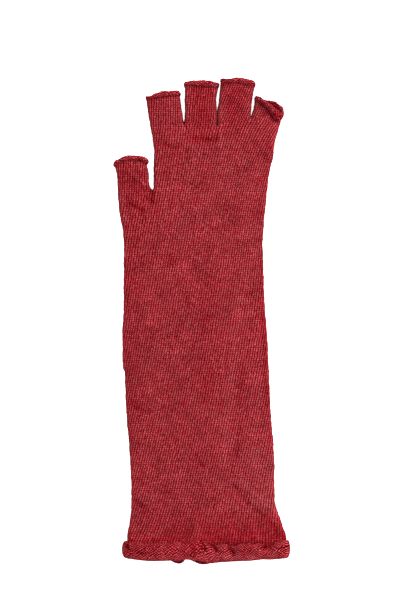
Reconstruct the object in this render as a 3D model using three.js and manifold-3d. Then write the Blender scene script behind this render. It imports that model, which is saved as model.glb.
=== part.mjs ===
// Long fingerless knitted glove, lying flat on its palm side.
// Millimetres, +Z up, fingers towards +Y, thumb towards -X.
// Every tube is a flattened sleeve: a section runs from its left folded edge
// to its right folded edge, with a base height and a top height between them.

import * as THREE from 'three';
import Module from 'manifold-3d';
import { mergeVertices } from 'three/addons/utils/BufferGeometryUtils.js';

const wasm = await Module();
wasm.setup();

// ---------------------------------------------------------------- sizes, mm
const WALL = 1.4;            // knitted wall of the arm and palm
const DIGIT_WALL = 1.3;      // knitted wall of the finger and thumb tubes
const FOLD_LEVEL = 0.36;     // height of a folded edge, as a share of base to top
const KERF = 0.3;            // gap between neighbouring parts of the knit
const CUFF_END = -143.5;     // where the cuff meets the arm sleeve, along Y
const ARM_END = 83.0;        // where the arm sleeve meets the palm, along Y
const CROWN = 0.5;           // how much the flattened sleeve swells at its middle
const STATIONS = 23;         // evenly spaced sections of the arm and palm, outside
const INNER_STATIONS = 13;   // the same, inside
const TOP_STEPS = 12;        // steps across the back of a section
const INNER_TOP_STEPS = 8;   // the same, inside
const BASE_STEPS = 3;        // steps across the underside of a section
const FOLD_STEPS = 3;        // steps round each quarter of a folded edge
const ROLL_HALF_LENGTH = 6.1;   // cuff roll, half of its size along Y
const ROLL_TOP = 5.4;        // how far the cuff roll stands above the back
const ROLL_BASE = 2.6;       // how far it stands below the underside
const ROLL_SIDE = 2.0;       // how far it stands out at the folded edges
const ROLL_STEPS = 10;       // steps round the cuff roll
const YARN_RED = new THREE.Color().setRGB(0.315, 0.026, 0.033);

// ------------------------------------------------------------------- tables
const table = (columns, rows) =>
  rows.map((row) => Object.fromEntries(columns.map((name, i) => [name, row[i]])));

// Arm and palm, from the cuff to the finger crotches.
// xl,yl and xr,yr are the two folded edges; bow moves the middle along Y;
// base and top are the heights of the flat faces; fold is the edge rounding.
const BODY = table(
  ['yl', 'xl', 'yr', 'xr', 'bow', 'base', 'top', 'fold'], [
  [-163.6, -55.9, -163.6, 61.6, -3.2, 2.6, 10.5, 4.0],
  [-158.4, -55.2, -158.4, 61.2, -2.6, 2.4, 10.3, 4.0],
  [-151.2, -53.1, -151.2, 59.0, -1.6, 1.6, 10.0, 4.0],
  [-144.0, -51.6, -144.0, 56.6, -0.8, 0.8, 9.5, 4.0],
  [-136.8, -51.0, -136.8, 54.1, -0.2, 0.2, 9.1, 4.0],
  [-129.6, -50.7, -129.6, 52.6, 0, 0, 8.8, 4.0],
  [-108.0, -51.2, -108.0, 52.4, 0, 0, 8.6, 4.0],
  [-93.6, -51.9, -93.6, 51.9, 0, 0, 8.6, 4.0],
  [-72.0, -53.9, -72.0, 50.1, 0, 0, 8.6, 4.0],
  [-50.4, -54.8, -50.4, 48.8, 0, 0, 8.6, 4.0],
  [-39.6, -55.2, -39.6, 48.6, 0, 0, 8.6, 4.0],
  [-33.8, -56.7, -33.8, 48.1, 0, 0, 8.6, 4.0],
  [-18.0, -57.0, -18.0, 47.3, 0, 0, 8.6, 4.0],
  [0.0, -56.6, 0.0, 46.1, 0, 0, 8.6, 4.0],
  [18.0, -56.2, 18.0, 44.9, 0, 0, 8.6, 4.0],
  [36.0, -56.1, 36.0, 44.1, 0, 0, 8.6, 4.0],
  [50.4, -56.0, 50.4, 43.8, 0, 0, 8.5, 4.0],
  [64.8, -56.8, 64.8, 44.4, 0, 0, 8.4, 3.8],
  [75.6, -58.8, 75.6, 45.2, 0, 0, 8.3, 3.6],
  [82.1, -59.8, 82.1, 45.9, 0, 0, 8.2, 3.6],
  [86.4, -56.0, 86.4, 46.4, 0, 0, 8.2, 3.6],
  [90.5, -46.5, 90.5, 46.8, 0, 0, 8.2, 3.6],
  [94.5, -36.2, 94.5, 47.1, 0, 0, 8.2, 3.6],
  [98.0, -34.9, 98.0, 47.5, 0, 0, 8.2, 3.6],
  [108.0, -34.8, 108.0, 49.1, 0, 0, 8.2, 3.6],
  [119.5, -34.3, 119.5, 51.7, 0, 0, 8.1, 3.6],
  [128.0, -35.0, 128.0, 52.9, 0, 0, 8.0, 3.6],
  [134.0, -36.1, 134.5, 54.4, 0, 0, 7.8, 3.6],
  [137.5, -36.8, 139.0, 55.9, 0, 0.6, 6.9, 3.0],
  [139.8, -37.0, 142.6, 56.4, 0, 1.4, 5.6, 2.4],
  [141.0, -36.6, 144.8, 56.0, 0, 2.1, 4.5, 1.8],
]);

// Digit tubes, from their hidden root inside the palm to the open rim.
// The last three rows are the outward-rolled rim.
const DIGIT_COLUMNS = ['xl', 'yl', 'xr', 'yr', 'bow', 'base', 'top', 'fold'];
const DIGITS = {
  thumb_tube: table(DIGIT_COLUMNS, [
    [-57.8, 69.1, -27.9, 77.8, 0, 0.2, 7.8, 3.0],
    [-59.3, 79.9, -32.6, 86.0, 0, 0.2, 7.8, 3.0],
    [-60.2, 90.0, -35.4, 92.5, 0, 0.3, 7.9, 3.0],
    [-60.6, 98.6, -37.8, 98.6, 0.6, 0.5, 8.1, 3.0],
    [-61.1, 105.1, -38.5, 105.1, 1.6, 0.8, 8.4, 3.0],
    [-62.2, 109.7, -39.5, 110.6, 3.0, 1.0, 8.8, 3.0],
    [-63.7, 112.0, -37.8, 114.2, 3.2, 0.1, 9.9, 3.4],
    [-61.8, 113.8, -39.3, 116.2, 3.6, 1.5, 8.5, 2.8],
  ]),
  index_tube: table(DIGIT_COLUMNS, [
    [-34.4, 125.3, -10.3, 130.3, 0, 0.2, 7.8, 3.0],
    [-36.1, 133.9, -11.9, 138.6, 0, 0.2, 7.8, 3.0],
    [-37.3, 140.4, -12.9, 144.0, 0, 0.3, 7.9, 3.0],
    [-38.4, 148.3, -13.9, 151.2, 0, 0.5, 8.0, 3.0],
    [-39.5, 155.2, -15.2, 158.7, 0.3, 0.8, 8.3, 3.0],
    [-39.6, 158.0, -15.9, 161.8, 0.5, 1.0, 8.7, 3.0],
    [-40.4, 160.0, -15.5, 163.9, 0.7, 0.1, 9.6, 3.4],
    [-39.7, 161.4, -16.7, 165.4, 0.7, 1.5, 8.3, 2.8],
  ]),
  middle_tube: table(DIGIT_COLUMNS, [
    [-10.6, 128.2, 10.5, 128.2, 0, 0.2, 7.8, 3.0],
    [-11.8, 136.8, 10.7, 136.8, 0, 0.2, 7.8, 3.0],
    [-12.3, 145.4, 10.8, 145.1, 0, 0.3, 7.9, 3.0],
    [-12.2, 154.1, 10.5, 153.7, 0, 0.5, 8.0, 3.0],
    [-12.2, 162.7, 10.9, 162.0, 0.3, 0.8, 8.3, 3.0],
    [-12.2, 168.2, 11.6, 167.2, 0.7, 1.0, 8.7, 3.0],
    [-13.3, 170.4, 12.4, 169.3, 1.0, 0.1, 9.7, 3.4],
    [-12.3, 172.0, 11.6, 171.0, 1.2, 1.5, 8.4, 2.8],
  ]),
  ring_tube: table(DIGIT_COLUMNS, [
    [12.1, 129.6, 34.5, 127.4, 0, 0.2, 7.8, 3.0],
    [11.4, 138.2, 35.0, 136.1, 0, 0.2, 7.8, 3.0],
    [11.4, 146.9, 35.4, 144.7, 0, 0.3, 7.9, 3.0],
    [12.1, 156.2, 35.6, 152.6, 0, 0.5, 8.0, 3.0],
    [12.7, 163.4, 36.8, 160.6, 0.3, 0.8, 8.3, 3.0],
    [13.2, 169.9, 37.6, 166.6, 0.7, 1.0, 8.7, 3.0],
    [13.4, 172.4, 38.9, 168.8, 1.0, 0.1, 9.7, 3.4],
    [14.3, 174.0, 38.2, 170.6, 1.2, 1.5, 8.4, 2.8],
  ]),
  little_tube: table(DIGIT_COLUMNS, [
    [34.0, 126.7, 51.3, 122.4, 0, 0.2, 7.8, 3.0],
    [35.2, 135.4, 53.4, 130.7, 0, 0.2, 7.8, 3.0],
    [36.2, 144.4, 55.8, 138.6, 0, 0.3, 7.9, 3.0],
    [37.1, 150.8, 57.3, 142.9, 0, 0.5, 8.0, 3.0],
    [37.8, 156.0, 57.8, 145.2, 0.3, 0.8, 8.3, 3.0],
    [38.2, 158.4, 58.0, 147.6, 0.6, 1.0, 8.8, 3.0],
    [38.9, 160.2, 59.4, 150.4, 1.4, 0.1, 11.0, 3.6],
    [40.2, 161.6, 57.8, 153.6, 2.0, 1.6, 9.2, 2.6],
  ]),
};

// Where each digit tube is cut from the palm, seen from above: the base line
// from its left to its right end, and the far line past the rim.
const CUTS = table(
  ['node', 'bxl', 'byl', 'bxr', 'byr', 'txl', 'tyl', 'txr', 'tyr'], [
  ['thumb_tube', -75.0, 74.6, -35.6, 94.25, -75.0, 130.0, -36.0, 130.0],
  ['index_tube', -50.0, 132.4, -12.55, 141.5, -50.0, 190.0, -14.9, 190.0],
  ['middle_tube', -12.55, 141.5, 11.05, 140.7, -14.9, 190.0, 13.7, 190.0],
  ['ring_tube', 11.05, 140.7, 35.75, 145.6, 13.7, 190.0, 42.5, 190.0],
  ['little_tube', 35.75, 145.6, 75.0, 133.4, 42.5, 190.0, 80.0, 190.0],
]);

// Soft folds and dents in the back of the arm and palm: a line from x1,y1 to
// x2,y2, its half width, and its height (negative for a valley).
const FOLDS = table(
  ['x1', 'y1', 'x2', 'y2', 'half', 'height'], [
  [21.1, -119.5, 42.7, -140.4, 6.0, -1.1],
  [42.7, -140.4, 57.8, -156.0, 5.0, -1.0],
  [33.0, -118.0, 52.0, -140.0, 6.0, 0.7],
  [-48.1, -131.0, -33.7, -142.6, 5.0, -0.5],
  [-3.4, 87.1, 43.4, 74.9, 7.0, -0.4],
  [-5.6, 77.0, -5.6, 49.0, 7.0, -0.4],
  [31.6, 36.0, 27.8, 3.6, 7.0, 0.5],
  [40.5, 28.1, 40.5, 0.0, 6.0, -0.5],
  [26.8, -35.3, 26.8, -78.5, 7.0, -0.5],
  [-36.9, 90.0, -36.9, 80.0, 5.0, -0.6],
]);

// ---------------------------------------------------------------- functions
function distanceToLine(x, y, f) {
  const dx = f.x2 - f.x1, dy = f.y2 - f.y1;
  const t = Math.min(1, Math.max(0, ((x - f.x1) * dx + (y - f.y1) * dy) / (dx * dx + dy * dy)));
  return Math.hypot(x - f.x1 - t * dx, y - f.y1 - t * dy);
}

function relief(x, y) {
  return FOLDS.reduce((sum, f) => sum + f.height * Math.exp(-((distanceToLine(x, y, f) / f.half) ** 2)), 0);
}

// One closed loop of a flattened sleeve; inset moves it inwards by the wall.
function sectionLoop(row, inset, topSteps, baseSteps, folded) {
  const left = new THREE.Vector2(row.xl, row.yl), right = new THREE.Vector2(row.xr, row.yr);
  const middle = left.clone().add(right).multiplyScalar(0.5);
  const along = right.clone().sub(left);
  const half = along.length() / 2 - inset;
  along.normalize();
  const forward = new THREE.Vector2(-along.y, along.x);
  const base = row.base + inset, top = row.top - inset;
  const edge = row.base + (row.top - row.base) * FOLD_LEVEL;
  const fold = Math.max(row.fold - inset * 0.5, 1.0);
  const loop = [];
  const put = (s, level, onTop) => {
    const q = s / half;
    const bow = row.bow * (1 - q * q);
    const p = middle.clone().addScaledVector(along, s).addScaledVector(forward, bow);
    const full = Math.sqrt(Math.max(0, 1 - q * q));
    let z = level;
    if (onTop) z += (CROWN * full + (folded ? relief(p.x, p.y) * full : 0)) * Math.max(0, (level - edge) / (top - edge));
    loop.push(new THREE.Vector3(p.x, p.y, z));
  };
  const flat = half - fold;
  for (let i = 0; i < FOLD_STEPS; i++) {           // right edge, rising
    const a = (Math.PI / 2) * (1 - i / FOLD_STEPS);
    put(flat + fold * Math.sin(a), edge + (top - edge) * Math.cos(a), true);
  }
  for (let i = 0; i <= topSteps; i++) put(flat * (1 - (2 * i) / topSteps), top, true);
  for (let i = 1; i < FOLD_STEPS; i++) {           // left edge, falling
    const a = (Math.PI / 2) * (i / FOLD_STEPS);
    put(-flat - fold * Math.sin(a), edge + (top - edge) * Math.cos(a), true);
  }
  for (let i = 0; i < FOLD_STEPS; i++) {           // left edge, turning under
    const a = (Math.PI / 2) * (1 - i / FOLD_STEPS);
    put(-flat - fold * Math.sin(a), edge - (edge - base) * Math.cos(a), false);
  }
  for (let i = 0; i <= baseSteps; i++) put(-flat * (1 - (2 * i) / baseSteps), base, false);
  for (let i = 1; i < FOLD_STEPS; i++) {           // right edge, turning back up
    const a = (Math.PI / 2) * (i / FOLD_STEPS);
    put(flat + fold * Math.sin(a), edge - (edge - base) * Math.cos(a), false);
  }
  return loop;
}

// Spreads a short table over more sections with a smooth curve per column.
function spread(rows, count) {
  const keys = Object.keys(rows[0]);
  const at = rows.map((r) => (r.yl + r.yr) / 2);
  const out = [];
  for (let n = 0; n < count; n++) {
    const y = at[0] + ((at[at.length - 1] - at[0]) * n) / (count - 1);
    let i = 0;
    while (i < rows.length - 2 && y > at[i + 1]) i++;
    const t = (y - at[i]) / (at[i + 1] - at[i]);
    const row = {};
    for (const k of keys) {
      const p1 = rows[i][k], p2 = rows[i + 1][k];
      const slope = (j) => (j <= 0 || j >= rows.length - 1 ? 0 : (rows[j + 1][k] - rows[j - 1][k]) / (at[j + 1] - at[j - 1]));
      const chord = (p2 - p1) / (at[i + 1] - at[i]);
      const limit = (m) => (m * chord <= 0 ? 0 : Math.sign(chord) * Math.min(Math.abs(m), 3 * Math.abs(chord)));
      const m1 = (i === 0 ? chord : limit(slope(i))) * (at[i + 1] - at[i]);
      const m2 = (i + 1 === rows.length - 1 ? chord : limit(slope(i + 1))) * (at[i + 1] - at[i]);
      row[k] = (2 * t ** 3 - 3 * t ** 2 + 1) * p1 + (t ** 3 - 2 * t ** 2 + t) * m1
        + (-2 * t ** 3 + 3 * t ** 2) * p2 + (t ** 3 - t ** 2) * m2;
    }
    out.push(row);
  }
  return out;
}

// Joins loops of equal length into a closed body with both ends capped.
function loft(loops, closedRing = false) {
  const n = loops[0].length, positions = [], index = [];
  for (const loop of loops) for (const p of loop) positions.push(p.x, p.y, p.z);
  const rings = loops.length, spans = closedRing ? rings : rings - 1;
  for (let i = 0; i < spans; i++) {
    const a = i * n, b = ((i + 1) % rings) * n;
    for (let j = 0; j < n; j++) {
      const k = (j + 1) % n;
      index.push(a + j, b + j, b + k, a + j, b + k, a + k);
    }
  }
  if (!closedRing) {
    for (const [ring, flip] of [[0, false], [rings - 1, true]]) {
      const c = new THREE.Vector3();
      loops[ring].forEach((p) => c.add(p));
      c.divideScalar(n);
      const centre = positions.length / 3;
      positions.push(c.x, c.y, c.z);
      for (let j = 0; j < n; j++) {
        const a = ring * n + j, b = ring * n + ((j + 1) % n);
        if (flip) index.push(a, centre, b); else index.push(a, b, centre);
      }
    }
  }
  const geometry = new THREE.BufferGeometry();
  geometry.setAttribute('position', new THREE.Float32BufferAttribute(positions, 3));
  geometry.setIndex(index);
  return geometry;
}

function solid(geometry) {
  const g = geometry.clone();
  g.deleteAttribute('normal');
  g.deleteAttribute('uv');
  const merged = mergeVertices(g, 1e-4);
  const position = merged.attributes.position.array;
  const index = Array.from(merged.index.array);
  // Faces point out: a negative signed volume means that they are reversed.
  let volume = 0;
  for (let i = 0; i < index.length; i += 3) {
    const [a, b, c] = [0, 1, 2].map((k) => new THREE.Vector3().fromArray(position, index[i + k] * 3));
    volume += a.dot(b.cross(c));
  }
  if (volume < 0) for (let i = 0; i < index.length; i += 3) [index[i + 1], index[i + 2]] = [index[i + 2], index[i + 1]];
  return new wasm.Manifold(new wasm.Mesh({
    numProp: 3, vertProperties: new Float32Array(position), triVerts: new Uint32Array(index),
  }));
}

function prism(points) {
  const shape = new THREE.Shape(points.map(([x, y]) => new THREE.Vector2(x, y)));
  const g = new THREE.ExtrudeGeometry(shape, { depth: 40, bevelEnabled: false });
  g.translate(0, 0, -10);
  return solid(g);
}

// The cuff's outward roll: an oval swept round the end of the sleeve.
function cuffRoll(row) {
  const rim = sectionLoop(row, 0, TOP_STEPS, BASE_STEPS, false);
  const n = rim.length, loops = [];
  for (let i = 0; i < n; i++) {
    const p = rim[i], a = rim[(i + n - 1) % n], b = rim[(i + 1) % n];
    const out = new THREE.Vector2(b.z - a.z, a.x - b.x).normalize();
    const up = out.y;
    const reach = up > 0 ? ROLL_SIDE + (ROLL_TOP - ROLL_SIDE) * up * up : ROLL_SIDE + (ROLL_BASE - ROLL_SIDE) * up * up;
    const halfOut = (reach + WALL * 0.8) / 2, centreOut = (reach - WALL * 0.8) / 2;
    const loop = [];
    for (let k = 0; k < ROLL_STEPS; k++) {
      const t = (2 * Math.PI * k) / ROLL_STEPS;
      const o = centreOut + halfOut * Math.cos(t);
      loop.push(new THREE.Vector3(p.x + out.x * o, p.y - 1.6 - ROLL_HALF_LENGTH * Math.sin(t), p.z + out.y * o));
    }
    loops.push(loop);
  }
  return loft(loops, true);
}

function beyond(row, by) {
  return { ...row, yl: row.yl + by, yr: row.yr + by };
}

// --------------------------------------------------------------- build whole
// The rows where the palm closes towards the finger crotches are used as they are.
const CLOSING_ROWS = 4;
const sleeve = BODY.slice(0, -CLOSING_ROWS), closing = BODY.slice(-CLOSING_ROWS);
const outerRows = [...spread(sleeve, STATIONS), ...closing];
const innerRows = [...spread(sleeve, INNER_STATIONS), ...closing.slice(0, -1).map((r) => beyond(r, -WALL))];

let outer = solid(loft(outerRows.map((r) => sectionLoop(r, 0, TOP_STEPS, BASE_STEPS, true))));
outer = outer.add(solid(cuffRoll(BODY[0])));

let inner = solid(loft([
  sectionLoop(beyond(BODY[0], -14), WALL, INNER_TOP_STEPS, BASE_STEPS, false),
  ...innerRows.map((r) => sectionLoop(r, WALL, INNER_TOP_STEPS, BASE_STEPS, true)),
]));

for (const rows of Object.values(DIGITS)) {
  outer = outer.add(solid(loft(rows.map((r) => sectionLoop(r, 0, 6, 2, false)))));
  const bore = rows.slice(0, 6);
  const last = rows[rows.length - 1], neck = rows[5];
  const lean = new THREE.Vector2((last.xl + last.xr - neck.xl - neck.xr) / 2, (last.yl + last.yr - neck.yl - neck.yr) / 2);
  bore.push({ ...neck, xl: neck.xl + lean.x * 3, xr: neck.xr + lean.x * 3, yl: neck.yl + lean.y * 3, yr: neck.yr + lean.y * 3 });
  inner = inner.add(solid(loft(bore.map((r) => sectionLoop(r, DIGIT_WALL, 6, 2, false)))));
}

const whole = outer.subtract(inner);

// ------------------------------------------------------------- split by node
const pieces = {};
let long = whole;
for (const c of CUTS) {
  const h = KERF / 2;
  pieces[c.node] = whole.intersect(prism([
    [c.bxl + h, c.byl], [c.bxr - h, c.byr], [c.txr - h, c.tyr], [c.txl + h, c.tyl],
  ]));
  const down = (KERF * Math.hypot(c.bxr - c.bxl, c.byr - c.byl)) / (c.bxr - c.bxl);
  long = long.subtract(prism([
    [c.bxl - 0.1, c.byl - down], [c.bxr + 0.1, c.byr - down], [c.txr + 0.05, c.tyr + 1], [c.txl - 0.05, c.tyl + 1],
  ]));
}
const band = (y1, y2) => prism([[-100, y1], [100, y1], [100, y2], [-100, y2]]);
pieces.cuff = long.intersect(band(-200, CUFF_END - KERF / 2));
pieces.arm_sleeve = long.intersect(band(CUFF_END + KERF / 2, ARM_END - KERF / 2));
pieces.palm = long.intersect(band(ARM_END + KERF / 2, 200));

const group = new THREE.Group();
for (const name of ['cuff', 'arm_sleeve', 'palm', ...CUTS.map((c) => c.node)]) {
  const { vertProperties, triVerts } = pieces[name].getMesh();
  const geometry = new THREE.BufferGeometry();
  geometry.setAttribute('position', new THREE.Float32BufferAttribute(Array.from(vertProperties), 3));
  geometry.setIndex(Array.from(triVerts));
  geometry.computeVertexNormals();
  const material = new THREE.MeshStandardMaterial({ color: YARN_RED, roughness: 0.95, metalness: 0 });
  const mesh = new THREE.Mesh(geometry, material);
  mesh.name = name;
  group.add(mesh);
}

export default group;
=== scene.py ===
import math

import bpy
import numpy as np
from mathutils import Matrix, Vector
from mathutils.geometry import delaunay_2d_cdt


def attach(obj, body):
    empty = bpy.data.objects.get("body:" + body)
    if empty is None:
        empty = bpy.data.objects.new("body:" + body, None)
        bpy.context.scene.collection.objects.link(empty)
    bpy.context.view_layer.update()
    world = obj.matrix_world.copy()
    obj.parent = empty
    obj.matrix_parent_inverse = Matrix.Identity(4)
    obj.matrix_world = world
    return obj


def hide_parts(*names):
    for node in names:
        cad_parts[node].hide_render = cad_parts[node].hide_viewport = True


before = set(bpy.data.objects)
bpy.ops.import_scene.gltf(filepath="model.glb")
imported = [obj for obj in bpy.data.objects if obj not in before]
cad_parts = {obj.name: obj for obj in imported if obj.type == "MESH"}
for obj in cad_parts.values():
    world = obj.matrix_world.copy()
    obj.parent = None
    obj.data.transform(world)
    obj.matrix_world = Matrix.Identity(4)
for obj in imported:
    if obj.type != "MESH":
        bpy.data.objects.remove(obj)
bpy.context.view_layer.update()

MM = 0.001
rng = np.random.default_rng(7173)

# ------------------------------------------------------------------ sizes, mm
WALE = 1.74          # width of one column of stitches
COURSE = 1.56        # height of one row of stitches
CHEVRON = 0.80       # how far a stitch's legs rise towards its sides, in rows
RELIEF = 0.42        # depth of the stitch relief
WALL = 1.3           # thickness of the knit
EDGE_ROUND = 2.5     # radius of a folded edge
BIAS_ALONG, BIAS_ROUND = 2.26, 1.50   # spacing of the rolled rims' slanting rows, along and round the roll
UNDER = 1.6          # how far the sleeve runs on under a rolled rim
EDGE_STEP = 0.72     # spacing of points along an edge
INSETS = (0.03, 0.12, 0.27, 0.48, 0.76, 1.10, 1.52)
CAMERA_HEIGHT = 2.0  # metres

# Yarn colour from the darkest to the lightest, and how much each cause moves it along that scale. The stitch relief
# moves it as painted shade in the grooves between columns and painted highlight on the stitch legs.
YARN_STOPS = [(0.0, (0.031, 0.0000, 0.0002)), (0.167, (0.053, 0.0001, 0.0006)), (0.333, (0.095, 0.0002, 0.0022)),
              (0.5, (0.168, 0.0029, 0.0064)), (0.667, (0.251, 0.0165, 0.0230)), (0.833, (0.343, 0.0530, 0.0630)),
              (1.0, (0.438, 0.1150, 0.1250))]
RIB_PAINTED_SHADE, OWN_SHADE, FIBRE_SHADE, FINE_SHADE = 1.08, 0.11, 0.26, 0.60
PURL_RED = (1.05, 0.76, 0.84)   # the wrong side of the knit is a purer red
EVEN_TINT = (0.90, 1.35, 1.25)  # and duller where its stitches lie smoothest
STREAK_SHADE, BROAD_SHADE, PATCH_SHADE, SPOT_SHADE = 0.36, 0.16, 0.36, 0.30   # these scale the yarn's brightness
CRIMSON, BROWNISH = (1.05, 0.84, 0.89), (0.91, 1.22, 1.13)   # the two yarns spun together

# How far the columns of stitches lean to the right, in degrees, going up the
# left, the middle and the right of the arm and palm.
LEAN_X = (-42.0, -4.0, 34.0)
LEAN_COLUMNS = ("y", "left", "middle", "right")
LEAN = np.array([
    (-170.0, 22.0, 13.0, 3.0),
    (-146.0, 18.0, 12.5, 6.5),
    (-105.0, 13.0, 12.5, 12.0),
    (-60.0, 12.0, 11.0, 11.0),
    (-10.0, 10.0, 10.0, 9.0),
    (40.0, 8.5, 10.0, 7.5),
    (80.0, 9.5, 10.5, 12.0),
    (110.0, 9.5, 10.5, 16.0),
    (140.0, 5.0, 8.0, 21.0),
    (200.0, 0.0, 5.0, 24.0),
])

# ------------------------------------------------------ outline, seen from above
# Each edge is a smooth curve through x,y.
LEFT_SIDE = [(-54.0, -162.5), (-53.6, -158.4), (-53.6, -154.8), (-52.9, -151.2), (-51.5, -144.0), (-50.9, -136.8),
             (-50.6, -129.6), (-50.8, -115.2), (-51.6, -100.8), (-52.5, -86.4), (-53.9, -72.0), (-54.7, -57.6),
             (-55.2, -43.2), (-55.4, -37.6), (-56.4, -35.6), (-56.9, -32.0), (-57.0, -21.6), (-57.1, -7.2),
             (-56.2, 7.2), (-56.2, 21.6), (-56.1, 36.0), (-56.0, 50.4), (-56.1, 57.6), (-56.8, 64.8),
             (-58.2, 72.0), (-59.4, 79.2), (-60.1, 86.4), (-60.4, 93.6), (-60.8, 100.8), (-61.3, 106.2),
             (-62.2, 110.4), (-62.6, 111.9)]
THUMB_INNER = [(-35.6, 93.6), (-36.7, 95.2), (-37.7, 97.2), (-38.2, 100.1), (-38.3, 104.4), (-38.9, 108.4),
               (-39.5, 111.6), (-39.4, 113.2)]
HAND_LEFT = [(-35.6, 93.6), (-34.7, 96.0), (-34.6, 100.8), (-34.8, 108.0), (-34.5, 115.2), (-34.3, 119.5),
             (-34.5, 123.0), (-35.2, 128.2), (-35.9, 133.9), (-37.2, 139.7), (-38.1, 145.4), (-38.9, 151.2),
             (-39.6, 156.2), (-39.9, 159.2), (-40.0, 161.0)]
INDEX_RIGHT = [(-12.95, 142.2), (-13.6, 145.8), (-14.2, 149.8), (-14.7, 153.4), (-15.1, 157.0), (-15.7, 160.4),
               (-15.9, 163.2)]
MIDDLE_LEFT = [(-12.95, 142.2), (-12.45, 145.6), (-12.2, 150.0), (-12.2, 155.5), (-12.2, 164.2), (-12.2, 168.2),
               (-12.4, 169.8)]
MIDDLE_RIGHT = [(11.05, 140.9), (10.97, 144.6), (10.97, 150.2), (10.75, 152.6), (10.45, 157.7), (10.8, 162.4), (11.4, 165.2),
                (11.75, 167.6), (11.9, 169.0)]
RING_LEFT = [(11.05, 140.9), (11.10, 145.4), (11.10, 150.6), (11.4, 152.9), (11.95, 155.4), (12.4, 158.0), (12.7, 161.0),
             (13.0, 164.9), (13.45, 169.4), (13.7, 171.4)]
RING_RIGHT = [(35.35, 146.2), (35.45, 150.4), (35.7, 153.4), (36.1, 156.2), (36.7, 159.8), (37.1, 163.4),
              (37.9, 166.6), (38.1, 168.2)]
LITTLE_LEFT = [(35.35, 146.2), (36.5, 149.4), (37.35, 152.4), (37.75, 155.5), (38.0, 157.8), (38.35, 159.4)]
RIGHT_SIDE = [(61.4, -162.5), (61.0, -158.4), (60.4, -154.8), (59.1, -151.2), (56.8, -144.0), (54.0, -136.8),
              (52.8, -131.8), (52.5, -126.0), (52.2, -115.2), (52.3, -104.0), (51.4, -86.4), (50.0, -72.0),
              (49.2, -57.6), (48.6, -43.2), (47.9, -28.8), (47.3, -14.4), (46.2, 0.0), (45.1, 14.4), (44.6, 28.8),
              (44.2, 43.2), (43.8, 54.0), (44.4, 64.8), (45.3, 75.6), (46.4, 86.4), (47.1, 93.6), (47.8, 100.8),
              (49.1, 108.0), (50.7, 115.2), (51.7, 119.5), (52.2, 125.3), (53.3, 131.0), (55.0, 136.8),
              (56.5, 141.2), (57.0, 144.6), (57.4, 146.2)]

# Where a digit tube leaves the palm, and the place on each long edge where it does.
BASES = {"thumb": ((-60.0, 82.1), (-35.6, 93.6)), "index": ((-36.6, 136.2), (-12.95, 142.2)),
         "middle": ((-12.95, 142.2), (11.05, 140.9)), "ring": ((11.05, 140.9), (35.35, 146.2)),
         "little": ((35.35, 146.2), (55.8, 138.9))}

# Rolled rims. bow: how far the sleeve's end line bulges; groove and edge: pairs of
# place along the rim, 0 to 1, and how far out the roll's two sides are; far: the
# same for the outer side of the roll at the back of the tube; high: the roll's
# height above the cloth at the left end, the middle and the right end; side and
# low: its height at the folded edges and beneath; inner: its depth into the tube
# beneath; shadow: how dark the groove is.
RIMS = {
    "thumb": dict(bow=4.4, high=(1.2, 1.9, 1.3), side=1.15, low=0.9, inner=1.2, shadow=0.34,
                  groove=[(0, -1.0), (0.05, -0.4), (0.16, 1.7), (0.30, 2.8), (0.54, 3.1), (0.75, 2.6), (0.88, 1.3), (0.95, 0.1), (1, -0.6)],
                  edge=[(0, 1.3), (0.06, 3.0), (0.24, 4.9), (0.44, 5.8), (0.74, 5.9), (0.89, 4.9), (0.97, 3.6), (1, 2.9)]),
    "index": dict(bow=0.7, high=(0.7, 1.7, 1.8), side=0.75, low=0.9, inner=1.2, shadow=0.36,
                  groove=[(0, -1.6), (0.20, -1.6), (0.42, -1.3), (0.66, -0.8), (0.95, -1.1), (1, -1.2)],
                  edge=[(0, 0.2), (0.18, -0.2), (0.27, 1.2), (0.42, 2.2), (0.66, 2.5), (0.89, 2.6), (0.97, 1.7), (1, 1.3)]),
    "middle": dict(bow=1.2, high=(1.1, 1.7, 1.4), side=0.75, low=0.9, inner=1.2, shadow=0.30,
                   groove=[(0, -0.8), (0.16, -0.1), (0.36, -0.4), (0.58, -0.7), (0.84, -0.9), (1, -0.9)],
                   edge=[(0, 1.5), (0.16, 2.3), (0.36, 3.1), (0.58, 2.9), (0.84, 2.3), (1, 1.5)]),
    "ring": dict(bow=2.3, high=(1.0, 1.8, 1.7), side=0.65, low=0.9, inner=1.2, shadow=0.30,
                 groove=[(0, 0.4), (0.20, 0.8), (0.57, 1.3), (0.77, 1.1), (1, 0.2)],
                 edge=[(0, 2.3), (0.10, 3.0), (0.24, 3.2), (0.33, 3.4), (0.42, 4.2), (0.60, 4.7), (0.75, 4.5), (0.92, 4.0), (1, 2.6)]),
    "little": dict(bow=1.2, high=(1.2, 2.9, 3.0), side=1.0, low=0.9, inner=4.2, shadow=0.62,
                   groove=[(0, -0.4), (0.18, -0.2), (0.34, -0.4), (0.45, -0.6), (0.62, -1.9), (0.80, -3.9), (0.92, -4.2), (1, -3.6)],
                   edge=[(0, 2.8), (0.18, 3.3), (0.34, 2.9), (0.48, 2.5), (0.65, 2.1), (0.82, 1.8), (0.92, 2.1), (1, 2.3)],
                   far=[(0, 2.0), (0.18, 2.7), (0.34, 3.4), (0.44, 5.3), (0.56, 6.5), (0.71, 6.7), (0.84, 6.3), (0.92, 5.2), (1, 3.2)]),
}
LEANS = {"thumb": 3.0, "index": 1.0, "middle": 5.0, "ring": 22.0, "little": 24.0}   # degrees, wales to the right
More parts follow.
